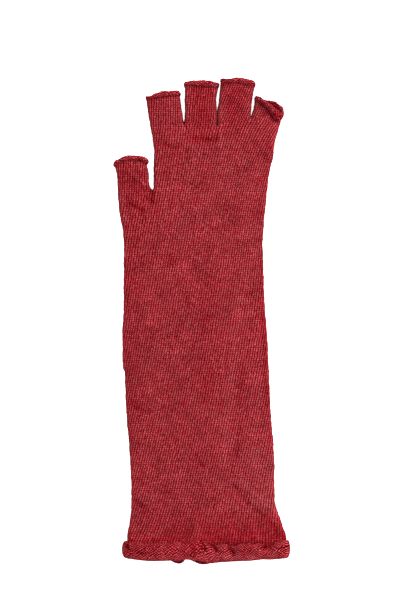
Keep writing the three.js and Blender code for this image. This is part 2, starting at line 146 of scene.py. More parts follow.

# Soft folds in the back of the hand: a line, its half width, its height and how much painted shade it lays on the yarn
# (painted highlight where negative).
FOLD_COLUMNS = ("x1", "y1", "x2", "y2", "half", "height", "dark")
FOLDS = [dict(zip(FOLD_COLUMNS, r)) for r in (
    # below the crotches of the fingers
    (-13.3, 138.4, -6.8, 129.6, 1.0, 0.40, -0.20),
    (-6.8, 126.0, -6.1, 106.8, 1.0, 0.30, -0.16),
    (-12.6, 140.8, -8.4, 133.0, 0.9, -0.35, 0.14),
    (-7.4, 131.4, 8.6, 130.1, 2.0, -0.35, 0.30),
    (-4.5, 129.4, 7.0, 129.2, 3.0, -0.10, 0.20),
    (11.0, 141.5, 10.7, 129.0, 0.9, -0.50, 0.14),
    (13.2, 136.0, 14.3, 117.6, 1.4, 0.25, -0.14),
    (35.4, 146.0, 34.4, 138.0, 1.0, -0.20, -0.04),
    (35.4, 148.6, 35.0, 144.0, 1.2, 0.0, -0.34),
    (11.0, 150.4, 11.0, 142.0, 1.0, 0.0, -0.62),
    (14.6, 133.2, 29.0, 133.2, 1.1, -0.20, 0.08),
    (43.0, 129.4, 50.0, 127.6, 1.2, -0.35, 0.20),
    (35.9, 130.8, 45.5, 117.6, 2.0, -0.25, 0.12),
    (18.2, 123.8, 45.0, 118.0, 1.3, -0.22, 0.12),
    (-30.1, 128.4, -18.1, 122.9, 1.5, -0.30, 0.28),
    (-38.0, 160.6, -36.4, 153.5, 1.4, -0.25, 0.08),
    # thumb and its root
    (-55.3, 109.2, -39.7, 96.0, 0.8, 0.20, -0.14),
    (-56.8, 107.0, -41.0, 93.0, 1.4, -0.40, 0.24),
    (-53.0, 84.0, -42.8, 79.2, 1.4, -0.55, 0.48),
    (-36.0, 92.0, -36.4, 85.0, 1.9, -0.75, 0.40),
    (-41.0, 88.5, -36.6, 86.0, 1.2, -0.35, 0.22),
    # across the back of the hand
    (10.0, 83.0, 43.1, 76.8, 1.4, -0.22, 0.12),
    (40.5, 77.5, 44.0, 76.5, 1.4, -0.20, 0.20),
    (-33.7, 93.0, -9.7, 93.6, 2.2, 0.20, -0.06),
    (-6.3, 70.0, -5.6, 36.0, 1.0, -0.18, 0.12),
    # long soft ridge down the outer side of the arm, and the hollow beside it
    (37.1, 48.0, 27.5, 14.4, 2.4, 0.40, -0.10),
    (27.5, 14.4, 22.7, -21.6, 3.0, 0.40, -0.10),
    (22.7, -21.6, 20.3, -40.8, 3.0, 0.40, -0.12),
    (20.3, -40.8, 15.0, -106.0, 3.4, 0.30, -0.12),
    (36.0, -40.0, 38.0, -100.0, 3.4, 0.25, -0.08),
    (29.4, -30.0, 27.5, -48.0, 2.0, -0.30, 0.12),
    (27.5, -48.0, 25.1, -90.0, 2.0, -0.25, 0.11),
    (-53.5, 34.0, -53.0, -40.0, 2.4, -0.25, 0.12),
    (-51.5, -59.5, -41.0, -65.0, 2.7, -0.35, 0.24),
    # at the flare above the cuff
    (27.3, -116.4, 51.3, -136.6, 2.2, 0.60, -0.20),
    (51.3, -136.6, 55.0, -148.0, 2.0, 0.40, -0.10),
    (23.6, -120.0, 33.6, -132.5, 1.5, -0.50, 0.18),
    (33.6, -132.5, 43.5, -140.5, 1.5, -0.50, 0.17),
    (43.5, -140.5, 56.0, -154.0, 1.7, -0.35, 0.14),
    (53.4, -150.6, 53.8, -155.8, 0.9, -0.20, 0.24),
    (-46.8, -130.5, -38.0, -140.5, 1.9, -0.40, 0.26),
    # small puckers
    (-22.0, 44.2, -21.6, 41.6, 2.4, -0.25, 0.34),
    (-10.9, 15.6, -10.6, 13.6, 1.9, -0.22, 0.20),
    (-34.9, 51.6, -34.5, 50.0, 1.9, -0.20, 0.22),
    (5.0, -36.0, 7.0, -38.0, 2.2, -0.20, 0.20),
    (-45.2, -114.5, -44.0, -116.0, 2.2, -0.35, 0.24),
    (25.1, -94.0, 25.4, -97.0, 1.9, -0.30, 0.24),
    (-4.0, -96.4, 0.6, -105.6, 1.6, -0.28, 0.28),
    (-25.5, -121.0, -25.0, -124.0, 1.8, -0.20, 0.12),
    # broad painted shade and highlight, with no relief
    (-58.0, 109.0, -44.0, 92.0, 8.5, 0.0, 0.18),
    (-52.0, 78.0, -50.0, 40.0, 8.0, 0.0, 0.09),
    (-0.5, 166.0, -0.5, 144.0, 8.0, 0.0, 0.31),
    (-35.0, 158.0, -32.0, 140.0, 6.0, 0.0, 0.09),
    (17.0, 168.0, 20.0, 156.0, 6.0, 0.0, 0.12),
    (26.0, 164.0, 24.0, 142.0, 7.0, 0.0, 0.22),
    (50.0, 128.0, 44.5, 90.0, 3.0, 0.0, 0.10),
    (43.0, 62.0, 44.4, 0.0, 1.7, 0.0, 0.22),
    (44.4, 0.0, 47.2, -62.0, 1.9, 0.0, 0.24),
    (4.0, 28.0, 4.0, -55.0, 6.0, 0.0, 0.14),
    (-48.0, 28.0, -47.0, -68.0, 5.5, 0.0, 0.09),
    (33.0, -100.0, 38.0, -138.0, 8.0, 0.0, -0.10),
    (39.0, 70.0, 38.0, 55.0, 4.0, 0.0, -0.10),
    (-26.0, -98.0, -26.0, -106.0, 4.5, 0.0, -0.10),
    (-4.0, -148.0, -6.0, -154.0, 4.5, 0.0, -0.12),
    (34.0, -82.0, 36.0, -88.0, 4.5, 0.0, 0.10),
    (-10.4, 163.0, -10.4, 148.0, 1.8, 0.0, -0.16),
    (14.2, 163.0, 13.6, 148.0, 2.0, 0.0, -0.16),
    (-14.0, 76.0, -14.0, 62.0, 5.0, 0.0, -0.10),
    (38.0, -86.0, 50.0, -122.0, 9.0, 0.0, -0.10),
    (48.0, -108.0, 52.0, -140.0, 5.0, 0.0, -0.10),
    (-53.0, -158.3, -22.0, -158.6, 1.8, 0.0, 0.20),
    (-20.0, 118.0, -26.0, 90.0, 9.0, 0.0, 0.05),
    (-34.0, 80.0, -52.0, 40.0, 6.0, 0.0, 0.04),
    (24.0, 132.0, 34.0, 100.0, 9.0, 0.0, -0.02),
    (-48.0, -40.0, -30.0, -20.0, 6.0, 0.0, -0.07),
    # where the sleeve runs into the cuff roll
    (-50.0, -160.0, -20.0, -160.6, 3.0, 2.3, 0.14),
    (-20.0, -160.6, -2.0, -158.6, 2.4, 1.6, 0.08),
    (4.0, -159.5, 58.0, -159.0, 2.6, 0.9, 0.10),
)]

# Cuff roll, as pairs of x and a value: the Y of its upper and lower edges, the Y
# of the lower edge of the turn beneath, which shows in two places, and its height.
CUFF_UPPER = [(-57.4, -159.1), (-51.7, -159.8), (-44.5, -160.6), (-30.1, -160.6), (-19.3, -159.8), (-15.7, -158.8),
              (-9.9, -157.5), (-3.4, -157.6), (1.6, -158.9), (4.5, -161.3), (8.8, -163.4), (11.7, -162.0),
              (16.0, -160.6), (20.3, -162.4), (23.2, -163.4), (27.5, -161.3), (31.9, -160.6), (36.2, -160.9),
              (40.5, -160.6), (44.8, -161.6), (47.7, -162.7), (50.6, -160.6), (56.3, -158.8), (62.1, -158.4)]
CUFF_LOWER = [(-57.0, -170.2), (-51.7, -171.3), (-44.5, -172.3), (-35.1, -173.0), (-23.9, -172.5), (-16.0, -172.2),
              (-10.6, -171.6), (-2.0, -172.4), (3.0, -173.8), (6.7, -174.7), (13.1, -173.8), (20.3, -173.3),
              (27.5, -173.0), (34.7, -172.7), (43.4, -171.7), (49.1, -171.9), (60.0, -171.0), (63.0, -170.2)]
CUFF_BENEATH = [(-57.0, -169.4), (-44.5, -171.4), (-26.0, -171.9), (-22.4, -173.6), (-19.5, -175.2), (-16.4, -175.9),
                (-13.6, -175.0), (-11.8, -172.4), (-9.4, -172.4), (-6.4, -174.0), (-1.8, -175.9), (1.2, -176.2),
                (5.0, -175.8), (8.0, -174.6), (20.3, -172.6), (43.4, -170.8), (60.0, -170.0)]
CUFF_HEIGHT = [(-57.0, 4.3), (-44.5, 4.6), (-30.0, 4.8), (-16.0, 4.9), (-6.0, 5.5), (2.0, 5.0), (8.8, 4.2), (15.0, 5.5),
               (23.0, 4.3), (32.0, 5.5), (40.0, 5.3), (47.7, 4.3), (54.0, 5.4), (63.0, 4.9)]
# Dents in the cuff roll, in the fold columns: dark paints shade into the hollows, and highlight onto the ridges where
# negative; rows with no height are painted shade or highlight only.
CUFF_DENTS = [dict(zip(FOLD_COLUMNS, r)) for r in (
    (-57.0, -162.0, -55.6, -168.0, 1.5, 0.30, -0.22),
    (-53.6, -162.6, -51.4, -165.2, 1.2, -0.60, 0.50),
    (-47.0, -167.1, -41.5, -167.8, 1.1, -0.60, 0.52),
    (-33.0, -163.0, -24.0, -161.6, 1.3, -0.40, 0.14),
    (-13.5, -159.8, -9.0, -158.2, 1.0, -0.60, 0.28),
    (-16.0, -163.0, 0.0, -167.0, 3.4, 0.30, -0.10),
    (-0.2, -158.6, 2.2, -164.6, 1.0, -1.30, 0.60),
    (4.0, -162.6, 5.6, -164.4, 1.2, 0.90, -0.25),
    (8.0, -162.0, 10.4, -165.4, 1.3, -1.90, 1.00),
    (8.6, -169.0, 24.0, -169.5, 2.4, 0.30, -0.10),
    (13.5, -164.5, 17.5, -163.5, 1.6, 0.60, -0.20),
    (20.0, -163.6, 22.4, -167.4, 1.4, -1.50, 0.85),
    (25.0, -165.5, 35.0, -167.0, 3.4, -0.30, 0.12),
    (37.0, -163.0, 42.0, -166.5, 1.8, 0.50, -0.14),
    (44.5, -163.4, 51.0, -161.6, 1.4, -1.50, 0.90),
    (50.0, -162.4, 53.0, -165.2, 0.8, 0.60, -0.30),
    (-9.5, -171.3, 3.6, -172.2, 0.8, 0.30, -0.22),
    (37.0, -168.5, 43.0, -170.5, 1.5, -0.50, 0.12),
    (54.5, -169.0, 59.0, -163.0, 1.2, -0.70, 0.22),
    (-50.0, -170.6, -28.0, -171.2, 2.2, 0.0, -0.16),
    (-28.0, -171.2, 0.0, -170.6, 2.2, 0.0, -0.26),
    (0.0, -171.4, 36.0, -170.4, 3.0, 0.0, -0.36),
    (5.0, -168.6, 18.0, -169.0, 2.6, 0.0, -0.16),
    (36.0, -169.6, 61.0, -169.0, 3.2, 0.0, -0.28),
    (55.0, -163.0, 61.0, -166.0, 3.0, 0.0, 0.08),
    (-52.0, -162.0, -38.0, -163.5, 3.8, 0.0, 0.22),
)]
# Dents on the little finger's rim and painted shadows beyond them, in the fold columns; negative dark paints highlight.
LITTLE_DENTS = [dict(zip(FOLD_COLUMNS, r)) for r in (
    (46.0, 157.4, 53.4, 149.4, 1.3, 0.30, -0.12),
    (41.0, 160.6, 46.0, 158.0, 1.2, 0.10, -0.12),
    (54.6, 149.4, 56.2, 146.4, 1.8, -0.20, 0.14),
)]
LITTLE_SHADOWS = [dict(zip(FOLD_COLUMNS, r)) for r in (
    (49.6, 157.9, 53.4, 154.9, 1.4, 0.0, 0.24),
    (53.4, 154.9, 56.4, 150.8, 1.3, 0.0, 0.24),
    (52.0, 159.6, 58.0, 153.0, 1.8, 0.0, -0.08),
)]
CUFF_SHADOWS = [dict(zip(FOLD_COLUMNS, r)) for r in (
    (-23.0, -174.6, -14.0, -175.4, 1.6, 0.0, 0.42),
    (-8.0, -174.6, 4.6, -175.8, 1.5, 0.0, 0.42),
)]

# ------------------------------------------------------------------ plan tools
def curve(points, step=EDGE_STEP, ripple=0.10, seed=0):
    """A smooth curve through the points, evenly spaced, with a slight ripple."""
    p = np.array(points, float)
    q = np.vstack([2 * p[0] - p[1], p, 2 * p[-1] - p[-2]])
    fine = []
    for i in range(1, len(q) - 2):
        t = np.linspace(0, 1, 24, endpoint=False)[:, None]
        a, b, c, d = q[i - 1], q[i], q[i + 1], q[i + 2]
        fine.append(0.5 * ((2 * b) + (c - a) * t + (2 * a - 5 * b + 4 * c - d) * t ** 2 + (3 * b - a - 3 * c + d) * t ** 3))
    fine = np.vstack(fine + [p[-1:]])
    s = np.concatenate([[0], np.cumsum(np.linalg.norm(np.diff(fine, axis=0), axis=1))])
    n = max(2, int(round(s[-1] / step)) + 1)
    at = np.linspace(0, s[-1], n)
    out = np.stack([np.interp(at, s, fine[:, k]) for k in (0, 1)], 1)
    if ripple:
        g = np.random.default_rng(seed + 11)
        tangent = np.gradient(out, axis=0)
        tangent /= np.linalg.norm(tangent, axis=1)[:, None]
        normal = np.stack([-tangent[:, 1], tangent[:, 0]], 1)
        wave = sum(a * np.sin(2 * math.pi * (at / w + g.random())) for a, w in ((0.5, 3.1), (0.7, 5.3), (0.8, 9.7), (0.8, 17.0)))
        fade = np.minimum(1, np.minimum(at, s[-1] - at) / 4.0)
        out += normal * (ripple * wave * fade)[:, None]
    return out


def widened(line, by):
    """The line moved sideways, to its left for a positive amount."""
    t = np.gradient(line, axis=0)
    t /= np.linalg.norm(t, axis=1)[:, None]
    return line + np.stack([-t[:, 1], t[:, 0]], 1) * by


def nearest_index(line, point):
    return int(np.argmin(((line - np.array(point)) ** 2).sum(1)))


REACH = 18.0         # distances beyond this count as this


def polyline_distance(points, lines):
    """Distance from points to the nearest of some polylines, and the nearest point."""
    a = np.vstack([l[:-1] for l in lines])
    b = np.vstack([l[1:] for l in lines])
    low, high = np.minimum(a[:, 1], b[:, 1]), np.maximum(a[:, 1], b[:, 1])
    best = np.full(len(points), REACH)
    near = points.copy()
    order = np.argsort(points[:, 1], kind="stable")
    for i in range(0, len(points), 1500):
        r = order[i:i + 1500]
        p = points[r]
        use = (high > p[:, 1].min() - REACH) & (low < p[:, 1].max() + REACH)
        if not use.any():
            continue
        aa, ab = a[use], (b - a)[use]
        t = ((p[:, None, :] - aa[None]) * ab[None]).sum(2) / (ab ** 2).sum(1)
        t = t.clip(0, 1)
        q = aa[None] + t[..., None] * ab[None]
        d = np.sqrt(((p[:, None, :] - q) ** 2).sum(2))
        k = d.argmin(1)
        d = d[np.arange(len(p)), k]
        got = d < REACH
        best[r[got]] = d[got]
        near[r[got]] = q[np.arange(len(p)), k][got]
    return best, near


def inside(points, polygon):
    x, y = points[:, 0], points[:, 1]
    result = np.zeros(len(points), bool)
    a, b = polygon, np.roll(polygon, -1, axis=0)
    for (x1, y1), (x2, y2) in zip(a, b):
        if y1 == y2:
            continue
        hit = (y1 > y) != (y2 > y)
        result[hit] ^= x[hit] < (x2 - x1) * (y[hit] - y1) / (y2 - y1) + x1
    return result


def smooth_noise(x, y, size, seed):
    """Soft value noise in the plan, about -1 to 1."""
    g = np.random.default_rng(seed)
    table = g.uniform(-1, 1, (64, 64))
    u, v = x / size + 31.7, y / size + 17.3
    i, j = np.floor(u).astype(int), np.floor(v).astype(int)
    fu, fv = u - i, v - j
    fu, fv = fu * fu * (3 - 2 * fu), fv * fv * (3 - 2 * fv)
    t = lambda a, b: table[a % 64, b % 64]
    return (t(i, j) * (1 - fu) * (1 - fv) + t(i + 1, j) * fu * (1 - fv) + t(i, j + 1) * (1 - fu) * fv + t(i + 1, j + 1) * fu * fv)


# --------------------------------------------------------------------- outline
left_side = widened(curve(LEFT_SIDE, seed=1), 0.27)
right_side = widened(curve(RIGHT_SIDE, seed=2), -0.27)
hand_left = widened(curve(HAND_LEFT, seed=3), 0.10)
k_thumb = nearest_index(left_side, BASES["thumb"][0])
k_index = nearest_index(hand_left, BASES["index"][0])
k_little = nearest_index(right_side, BASES["little"][1])
EDGES = {
    "thumb": (left_side[k_thumb:], widened(curve(THUMB_INNER, seed=4), -0.10)),
    "index": (hand_left[k_index:], widened(curve(INDEX_RIGHT, seed=5), -0.10)),
    "middle": (widened(curve(MIDDLE_LEFT, seed=6), 0.10), widened(curve(MIDDLE_RIGHT, seed=7, ripple=0.06), -0.10)),
    "ring": (widened(curve(RING_LEFT, seed=8, ripple=0.06), 0.10), widened(curve(RING_RIGHT, seed=9), -0.10)),
    "little": (widened(curve(LITTLE_LEFT, seed=10), 0.10), right_side[k_little:]),
}
ALL_FOLDS = [left_side, right_side, hand_left, EDGES["thumb"][1], EDGES["index"][1], EDGES["middle"][0],
             EDGES["middle"][1], EDGES["ring"][0], EDGES["ring"][1], EDGES["little"][0]]


def line_between(a, b, bow=0.0, step=EDGE_STEP):
    a, b = np.array(a), np.array(b)
    n = max(3, int(round(np.linalg.norm(b - a) / step)) + 1)
    t = np.linspace(0, 1, n)[:, None]
    d = (b - a) / np.linalg.norm(b - a)
    forward = np.array([-d[1], d[0]])
    return a + (b - a) * t + forward * bow * (1 - (2 * t - 1) ** 2)


def digit_frame(name):
    """The groove line's ends and the direction that the digit points in."""
    left, right = EDGES[name]
    a, b = left[-1], right[-1]
    across = (b - a) / np.linalg.norm(b - a)
    return a, b, np.array([-across[1], across[0]])


# --------------------------------------------------------------------- heights
ARM_COLUMNS = ("y", "base", "top")
ARM = np.array([(-166.0, 2.6, 10.2), (-158.0, 2.3, 9.9), (-151.0, 1.4, 9.3), (-144.0, 0.6, 8.9), (-136.0, 0.15, 8.6),
                (-129.0, 0.0, 8.4), (-60.0, 0.0, 8.3), (60.0, 0.0, 8.3), (90.0, 0.0, 8.1), (126.0, 0.0, 7.9), (180.0, 0.0, 7.8)])


def levels(p, part):
    """Base and top heights of the flattened sleeve at plan points."""
    if part == "arm":
        return np.interp(p[:, 1], ARM[:, 0], ARM[:, 1]), np.interp(p[:, 1], ARM[:, 0], ARM[:, 2])
    a, b = map(np.array, BASES[part])
    ga, gb, out = digit_frame(part)
    foot = (a + b) / 2
    length = ((ga + gb) / 2 - foot) @ out
    across = (b - a) / np.linalg.norm(b - a)
    normal = np.array([-across[1], across[0]])
    t = (((p - a) @ normal) / max(length, 1)).clip(0, 1)
    ease = t * t * (3 - 2 * t)
    root = float(np.interp(foot[1], ARM[:, 0], ARM[:, 2]))
    return 0.95 * ease, root - 0.9 * np.sin(t * math.pi) ** 2 * 0.6 + (7.9 - root) * ease


def fold_relief(p, folds=FOLDS):
    height, dark = np.zeros(len(p)), np.zeros(len(p))
    for f in folds:
        a, b = np.array((f["x1"], f["y1"])), np.array((f["x2"], f["y2"]))
        t = (((p - a) @ (b - a)) / ((b - a) @ (b - a))).clip(0, 1)
        d = np.linalg.norm(p - a - t[:, None] * (b - a), axis=1)
        fade = np.exp(-(d / f["half"]) ** 2)
        height += f["height"] * fade
        dark += f["dark"] * fade
    return height, dark


EDGE_LEVEL = 0.38


def surface(p, part, d, side, inner=False):
    """Height of the back (+1) or the palm (-1) face, before the stitches."""
    base, top = levels(p, part)
    edge = base + (top - base) * EDGE_LEVEL
    wall = WALL if inner else 0.0
    q = ((d - wall) / (EDGE_ROUND - 0.4 * wall)).clip(0, 1)
    cap = np.sqrt(1 - (1 - q) ** 2)
    swell = 1 - np.exp(-((d - wall).clip(0, None) / 9.0))
    if side > 0:
        z = edge + (top - wall - edge) * cap * (0.86 + 0.14 * swell)
        folds, _ = fold_relief(p)
        soft = 0.30 * smooth_noise(p[:, 0], p[:, 1] * 0.6, 19.0, 3) + 0.16 * smooth_noise(p[:, 0], p[:, 1] * 0.7, 8.0, 4)
        z = z + (folds + soft) * cap * np.minimum(1, d / 3.0)
    else:
        z = edge + (base + wall - edge) * cap * (0.94 + 0.06 * swell)
        z = z + 0.22 * (1 + smooth_noise(p[:, 0], p[:, 1] * 0.6, 14.0, 5)) * cap * swell
    return z


# ------------------------------------------------------------------- stitches
_ys = np.linspace(-200, 200, 4001)
_drift = [np.concatenate([[0], np.cumsum(np.tan(np.radians(np.interp(_ys[:-1], LEAN[:, 0], LEAN[:, k]))) * np.diff(_ys))])
          for k in (1, 2, 3)]
_drift = [d - np.interp(10.0, _ys, d) for d in _drift]


def sleeve_drift(x, y):
    """How far a column of stitches has moved to the right of where it is at mid arm."""
    a, b, c = LEAN_X
    l, m, r = (np.interp(y, _ys, d) for d in _drift)
    x = x.clip(-62, 60)
    return (l * (x - b) * (x - c) / ((a - b) * (a - c)) + m * (x - a) * (x - c) / ((b - a) * (b - c))
            + r * (x - a) * (x - b) / ((c - a) * (c - b)))


def drift(p, part):
    x, y = p[:, 0], p[:, 1]
    if part == "arm":
        return sleeve_drift(x, y)
    (x1, y1), (x2, y2) = BASES[part]
    foot = np.array([(x1 + x2) / 2]), np.array([(y1 + y2) / 2])
    return sleeve_drift(*foot)[0] + math.tan(math.radians(LEANS[part])) * (y - foot[1][0])


def arc_left(side):
    """How much longer the rounded edge's surface is than its plan, from each distance inwards."""
    d = np.linspace(0, EDGE_ROUND, 400)
    rise = 4.6 if side > 0 else 2.9
    z = rise * np.sqrt(1 - (1 - d / EDGE_ROUND) ** 2)
    arc = np.concatenate([[0], np.cumsum(np.hypot(np.diff(d), np.diff(z)))])
    return d, (arc[-1] - d[-1]) - (arc - d)


def unrolled(p, d, near, outward, side):
    """Plan points moved outwards, so that the stitches run on round a folded edge at their own size."""
    at, extra = arc_left(side)
    more = np.interp(d, at, extra)
    if side < 0:
        more = more + (arc_left(+1)[1][0] - extra[0]) * np.exp(-d / 3.0)
    away = near - p
    n = len(outward)
    edge = d[:n] < 0.02
    away[:n][edge] = outward[edge]
    away = away / np.maximum(np.linalg.norm(away, axis=1), 1e-9)[:, None]
    return p + away * more[:, None]


def outward_normals(boundary):
    t = np.roll(boundary, -1, axis=0) - np.roll(boundary, 1, axis=0)
    n = np.stack([t[:, 1], -t[:, 0]], 1)
    n /= np.linalg.norm(n, axis=1)[:, None]
    return -n if inside(boundary[:1] + n[:1] * 0.5, boundary)[0] else n


def stitch_coordinates(p, part):
    """Wale and course number at plan points."""
    return (p[:, 0] - drift(p, part)) / WALE, p[:, 1] / COURSE


def plan_of(u, v, part):
    y = v * COURSE
    p = np.stack([u * WALE, y], 1)
    for _ in range(12):
        p[:, 0] = 0.3 * p[:, 0] + 0.7 * (u * WALE + drift(p, part))
    return p


def stitch_height(u, v):
    """Height of the V-shaped stitches, 0 to 1: a groove between columns, a shallow dip down each middle."""
    across = np.abs((u % 1) - 0.5) * 2
    phase = (v - CHEVRON * across) % 1
    ridge = np.cos(across * math.pi / 2).clip(0, 1) ** 0.5 * (0.80 + 0.20 * np.sin(math.pi * across))
    return ridge * (0.42 + 0.58 * np.sin(math.pi * phase).clip(0, 1) ** 0.6)


# ---------------------------------------------------------------- mesh helpers
def make_object(name, verts, faces, uv=None, dark=None, purl=None):
    me = bpy.data.meshes.new(name)
    verts = np.asarray(verts, np.float32)
    me.vertices.add(len(verts))
    me.vertices.foreach_set("co", verts.ravel())
    loops = np.concatenate([np.asarray(f, np.int32).ravel() for f in faces]) if isinstance(faces, list) else None
    sizes = np.concatenate([np.full(len(f), np.asarray(f).shape[1], np.int32) for f in faces])
    me.loops.add(len(loops))
    me.loops.foreach_set("vertex_index", loops)
    me.polygons.add(len(sizes))
    me.polygons.foreach_set("loop_start", np.concatenate([[0], np.cumsum(sizes)[:-1]]).astype(np.int32))
    me.polygons.foreach_set("loop_total", sizes)
    me.update(calc_edges=True)
    me.validate()
    me.polygons.foreach_set("use_smooth", np.ones(len(me.polygons), bool))
    if uv is not None:
        layer = me.uv_layers.new(name="stitches")
        index = np.empty(len(me.loops), np.int32)
        me.loops.foreach_get("vertex_index", index)
        layer.uv.foreach_set("vector", np.asarray(uv, np.float32)[index].ravel())
    if dark is not None:
        # per-point painted shade along folded edges, rim grooves, folds and dents, painted highlight where negative; on
        # loose fibres a paler tone
        at = me.attributes.new("painted_shade_and_fibre_tone", "FLOAT", "POINT")
        at.data.foreach_set("value", np.asarray(dark, np.float32))
    ob = bpy.data.objects.new(name, me)
    bpy.context.scene.collection.objects.link(ob)
    return ob


def point_normals(verts, faces):
    normals = np.zeros_like(verts)
    for f in faces:
        f = np.asarray(f)
        a, b, c = verts[f[:, 0]], verts[f[:, 1]], verts[f[:, 2]]
        n = np.cross(b - a, c - a)
        if f.shape[1] == 4:
            n = n + np.cross(c - a, verts[f[:, 3]] - a)
        for k in range(f.shape[1]):
            np.add.at(normals, f[:, k], n)
    return normals / np.maximum(np.linalg.norm(normals, axis=1), 1e-12)[:, None]


def triangulate(boundary, extra):
    """Points and triangles inside a closed boundary; boundary points come first."""
    pts = np.vstack([boundary, extra])
    n = len(boundary)
    verts, _, faces, orig, _, _ = delaunay_2d_cdt([Vector(p) for p in pts], [], [list(range(n))], 1, 1e-5)
    out = np.array([(v.x, v.y) for v in verts])
    first = np.array([min(o) if len(o) else 10 ** 9 for o in orig])
    order = np.argsort(first, kind="stable")
    rank = np.empty(len(order), int)
    rank[order] = np.arange(len(order))
    tri = rank[np.array([f for f in faces if len(f) == 3], int)]
    return out[order], tri


def polygon_of(part):
    """Closed plan boundary of a piece, and its open stretches (bases and rims)."""
    if part == "arm":
        bases = [line_between(left_side[k_thumb], BASES["thumb"][1]),
                 line_between(hand_left[k_index], BASES["index"][1])]
        bases += [line_between(*BASES[k]) for k in ("middle", "ring")]
        bases += [line_between(BASES["little"][0], right_side[k_little])]
        cuff = line_between(right_side[0], left_side[0], bow=2.0)
        ring = [left_side[:k_thumb + 1], bases[0][1:], hand_left[1:k_index + 1], bases[1][1:], bases[2][1:], bases[3][1:],
                bases[4][1:], right_side[:k_little][::-1], cuff[1:-1]]
        return np.vstack(ring), bases + [cuff]
    left, right = EDGES[part]
    rim = line_between(left[-1], right[-1], bow=RIMS[part]["bow"])
    base = line_between(left[0], right[0])
    return np.vstack([left, rim[1:-1], right[::-1], base[1:-1][::-1]]), [base, rim]


def dense_points(boundary, open_lines, part):
    """Points for the fine surface: rows beside the folded edges and a lattice of stitches."""
    rows = []
    for line in ALL_FOLDS:
        t = np.gradient(line, axis=0)
        t /= np.linalg.norm(t, axis=1)[:, None]
        n = np.stack([-t[:, 1], t[:, 0]], 1)
        for k, inset in enumerate(INSETS):
            half = (line[:-1] + line[1:]) / 2 if k % 2 == 0 else line
            nn = (n[:-1] + n[1:]) / 2 if k % 2 == 0 else n
            for s in (-1, 1):
                p = half + s * nn * inset
                rows.append(np.column_stack([p, np.full(len(p), inset)]))
    rows = np.vstack(rows)
    lo, hi = boundary.min(0) - 1, boundary.max(0) + 1
    rows = rows[((rows[:, :2] > lo) & (rows[:, :2] < hi)).all(1)]
    rows = rows[inside(rows[:, :2], boundary)]
    d, _ = polyline_distance(rows[:, :2], ALL_FOLDS)
    do, _ = polyline_distance(rows[:, :2], open_lines)
    rows = rows[(np.abs(d - rows[:, 2]) < 0.05 + 0.05 * rows[:, 2]) & (do > 0.3)][:, :2]
    v = np.arange(math.floor(lo[1] / COURSE * 2), math.ceil(hi[1] / COURSE * 2) + 1) / 2 + CHEVRON / 2
    u = np.arange(-60 * 4, 60 * 4) / 4
    uu, vv = np.meshgrid(u, v)
    p = plan_of(uu.ravel(), vv.ravel(), part)
    p = p[((p > lo) & (p < hi)).all(1)]
    p = p[inside(p, boundary)]
    d, _ = polyline_distance(p, ALL_FOLDS)
    p = p[d > INSETS[-1] + 0.28]
    do, _ = polyline_distance(p, open_lines)
    p = p[do > 0.28]
    return np.vstack([rows, p])


def coarse_points(boundary, part, step=3.2):
    lo, hi = boundary.min(0), boundary.max(0)
    xs, ys = np.meshgrid(np.arange(lo[0], hi[0], step), np.arange(lo[1], hi[1], step))
    p = np.stack([xs.ravel() + (ys.ravel() * 0.31) % step, ys.ravel()], 1)
    p = p[inside(p, boundary)]
    d, _ = polyline_distance(p, ALL_FOLDS)
    db, _ = polyline_distance(p, [np.vstack([boundary, boundary[:1]])])
    return p[(d > WALL + 1.5) & (db > 1.4)]


def groove_line(part):
    a, b, out2 = digit_frame(part)
    t, g = zip(*RIMS[part]["groove"])
    return a + (b - a) * np.array(t)[:, None] + out2 * (np.array(g) - 0.25)[:, None]


def outer_face(part, side):
    boundary, open_lines = polygon_of(part)
    pts, tri = triangulate(boundary, dense_points(boundary, open_lines, part))
    d, near = polyline_distance(pts, ALL_FOLDS)
    z = surface(pts, part, d, side)
    verts = np.column_stack([pts, z])
    if side < 0:
        tri = tri[:, ::-1]
    u, v = stitch_coordinates(unrolled(pts, d, near, outward_normals(boundary), side), part)
    do, _ = polyline_distance(pts, open_lines[:-1] if part == "arm" else open_lines[:1])
    amount = (do / 0.9).clip(0, 1) * (0.35 + 0.65 * (d / 1.6).clip(0, 1))
    # painted shade from the folds, painted shadow in the groove under a rolled rim, and painted shade along the folded
    # edges where the cloth turns away
    _, dark = fold_relief(pts)
    if side < 0:
        dark = dark * 0
    elif part in RIMS:
        dg, _ = polyline_distance(pts, [groove_line(part)])
        dark = dark + RIMS[part]["shadow"] * np.exp(-((dg / 0.9) ** 2))
    dark = dark + 0.40 * np.exp(-((d / 0.62) ** 2))
    return dict(boundary=boundary, verts=verts, tri=tri, u=u, v=v, amount=amount, dark=dark, d=d)


def inner_face(part, side):
    """The purl side of the wall, in from the folded edges by the wall."""
    boundary, open_lines = polygon_of(part)
    d, near = polyline_distance(boundary, ALL_FOLDS)
    n = -outward_normals(boundary)
    away = np.where((d > 0.05)[:, None], boundary - near, n)
    away /= np.maximum(np.linalg.norm(away, axis=1), 1e-9)[:, None]
    ring = boundary + away * (WALL - d).clip(0, None)[:, None]
    keep = np.concatenate([[True], np.linalg.norm(np.diff(ring, axis=0), axis=1) > 0.25])
    ring = ring[keep]
    pts, tri = triangulate(ring, coarse_points(boundary, part))
    d, _ = polyline_distance(pts, ALL_FOLDS)
    verts = np.column_stack([pts, surface(pts, part, d, side, inner=True)])
    if side > 0:
        tri = tri[:, ::-1]
    u, v = stitch_coordinates(pts, part)
    _, dark = fold_relief(pts)
    return dict(verts=verts, tri=tri, u=u, v=v, dark=np.zeros(len(pts)))


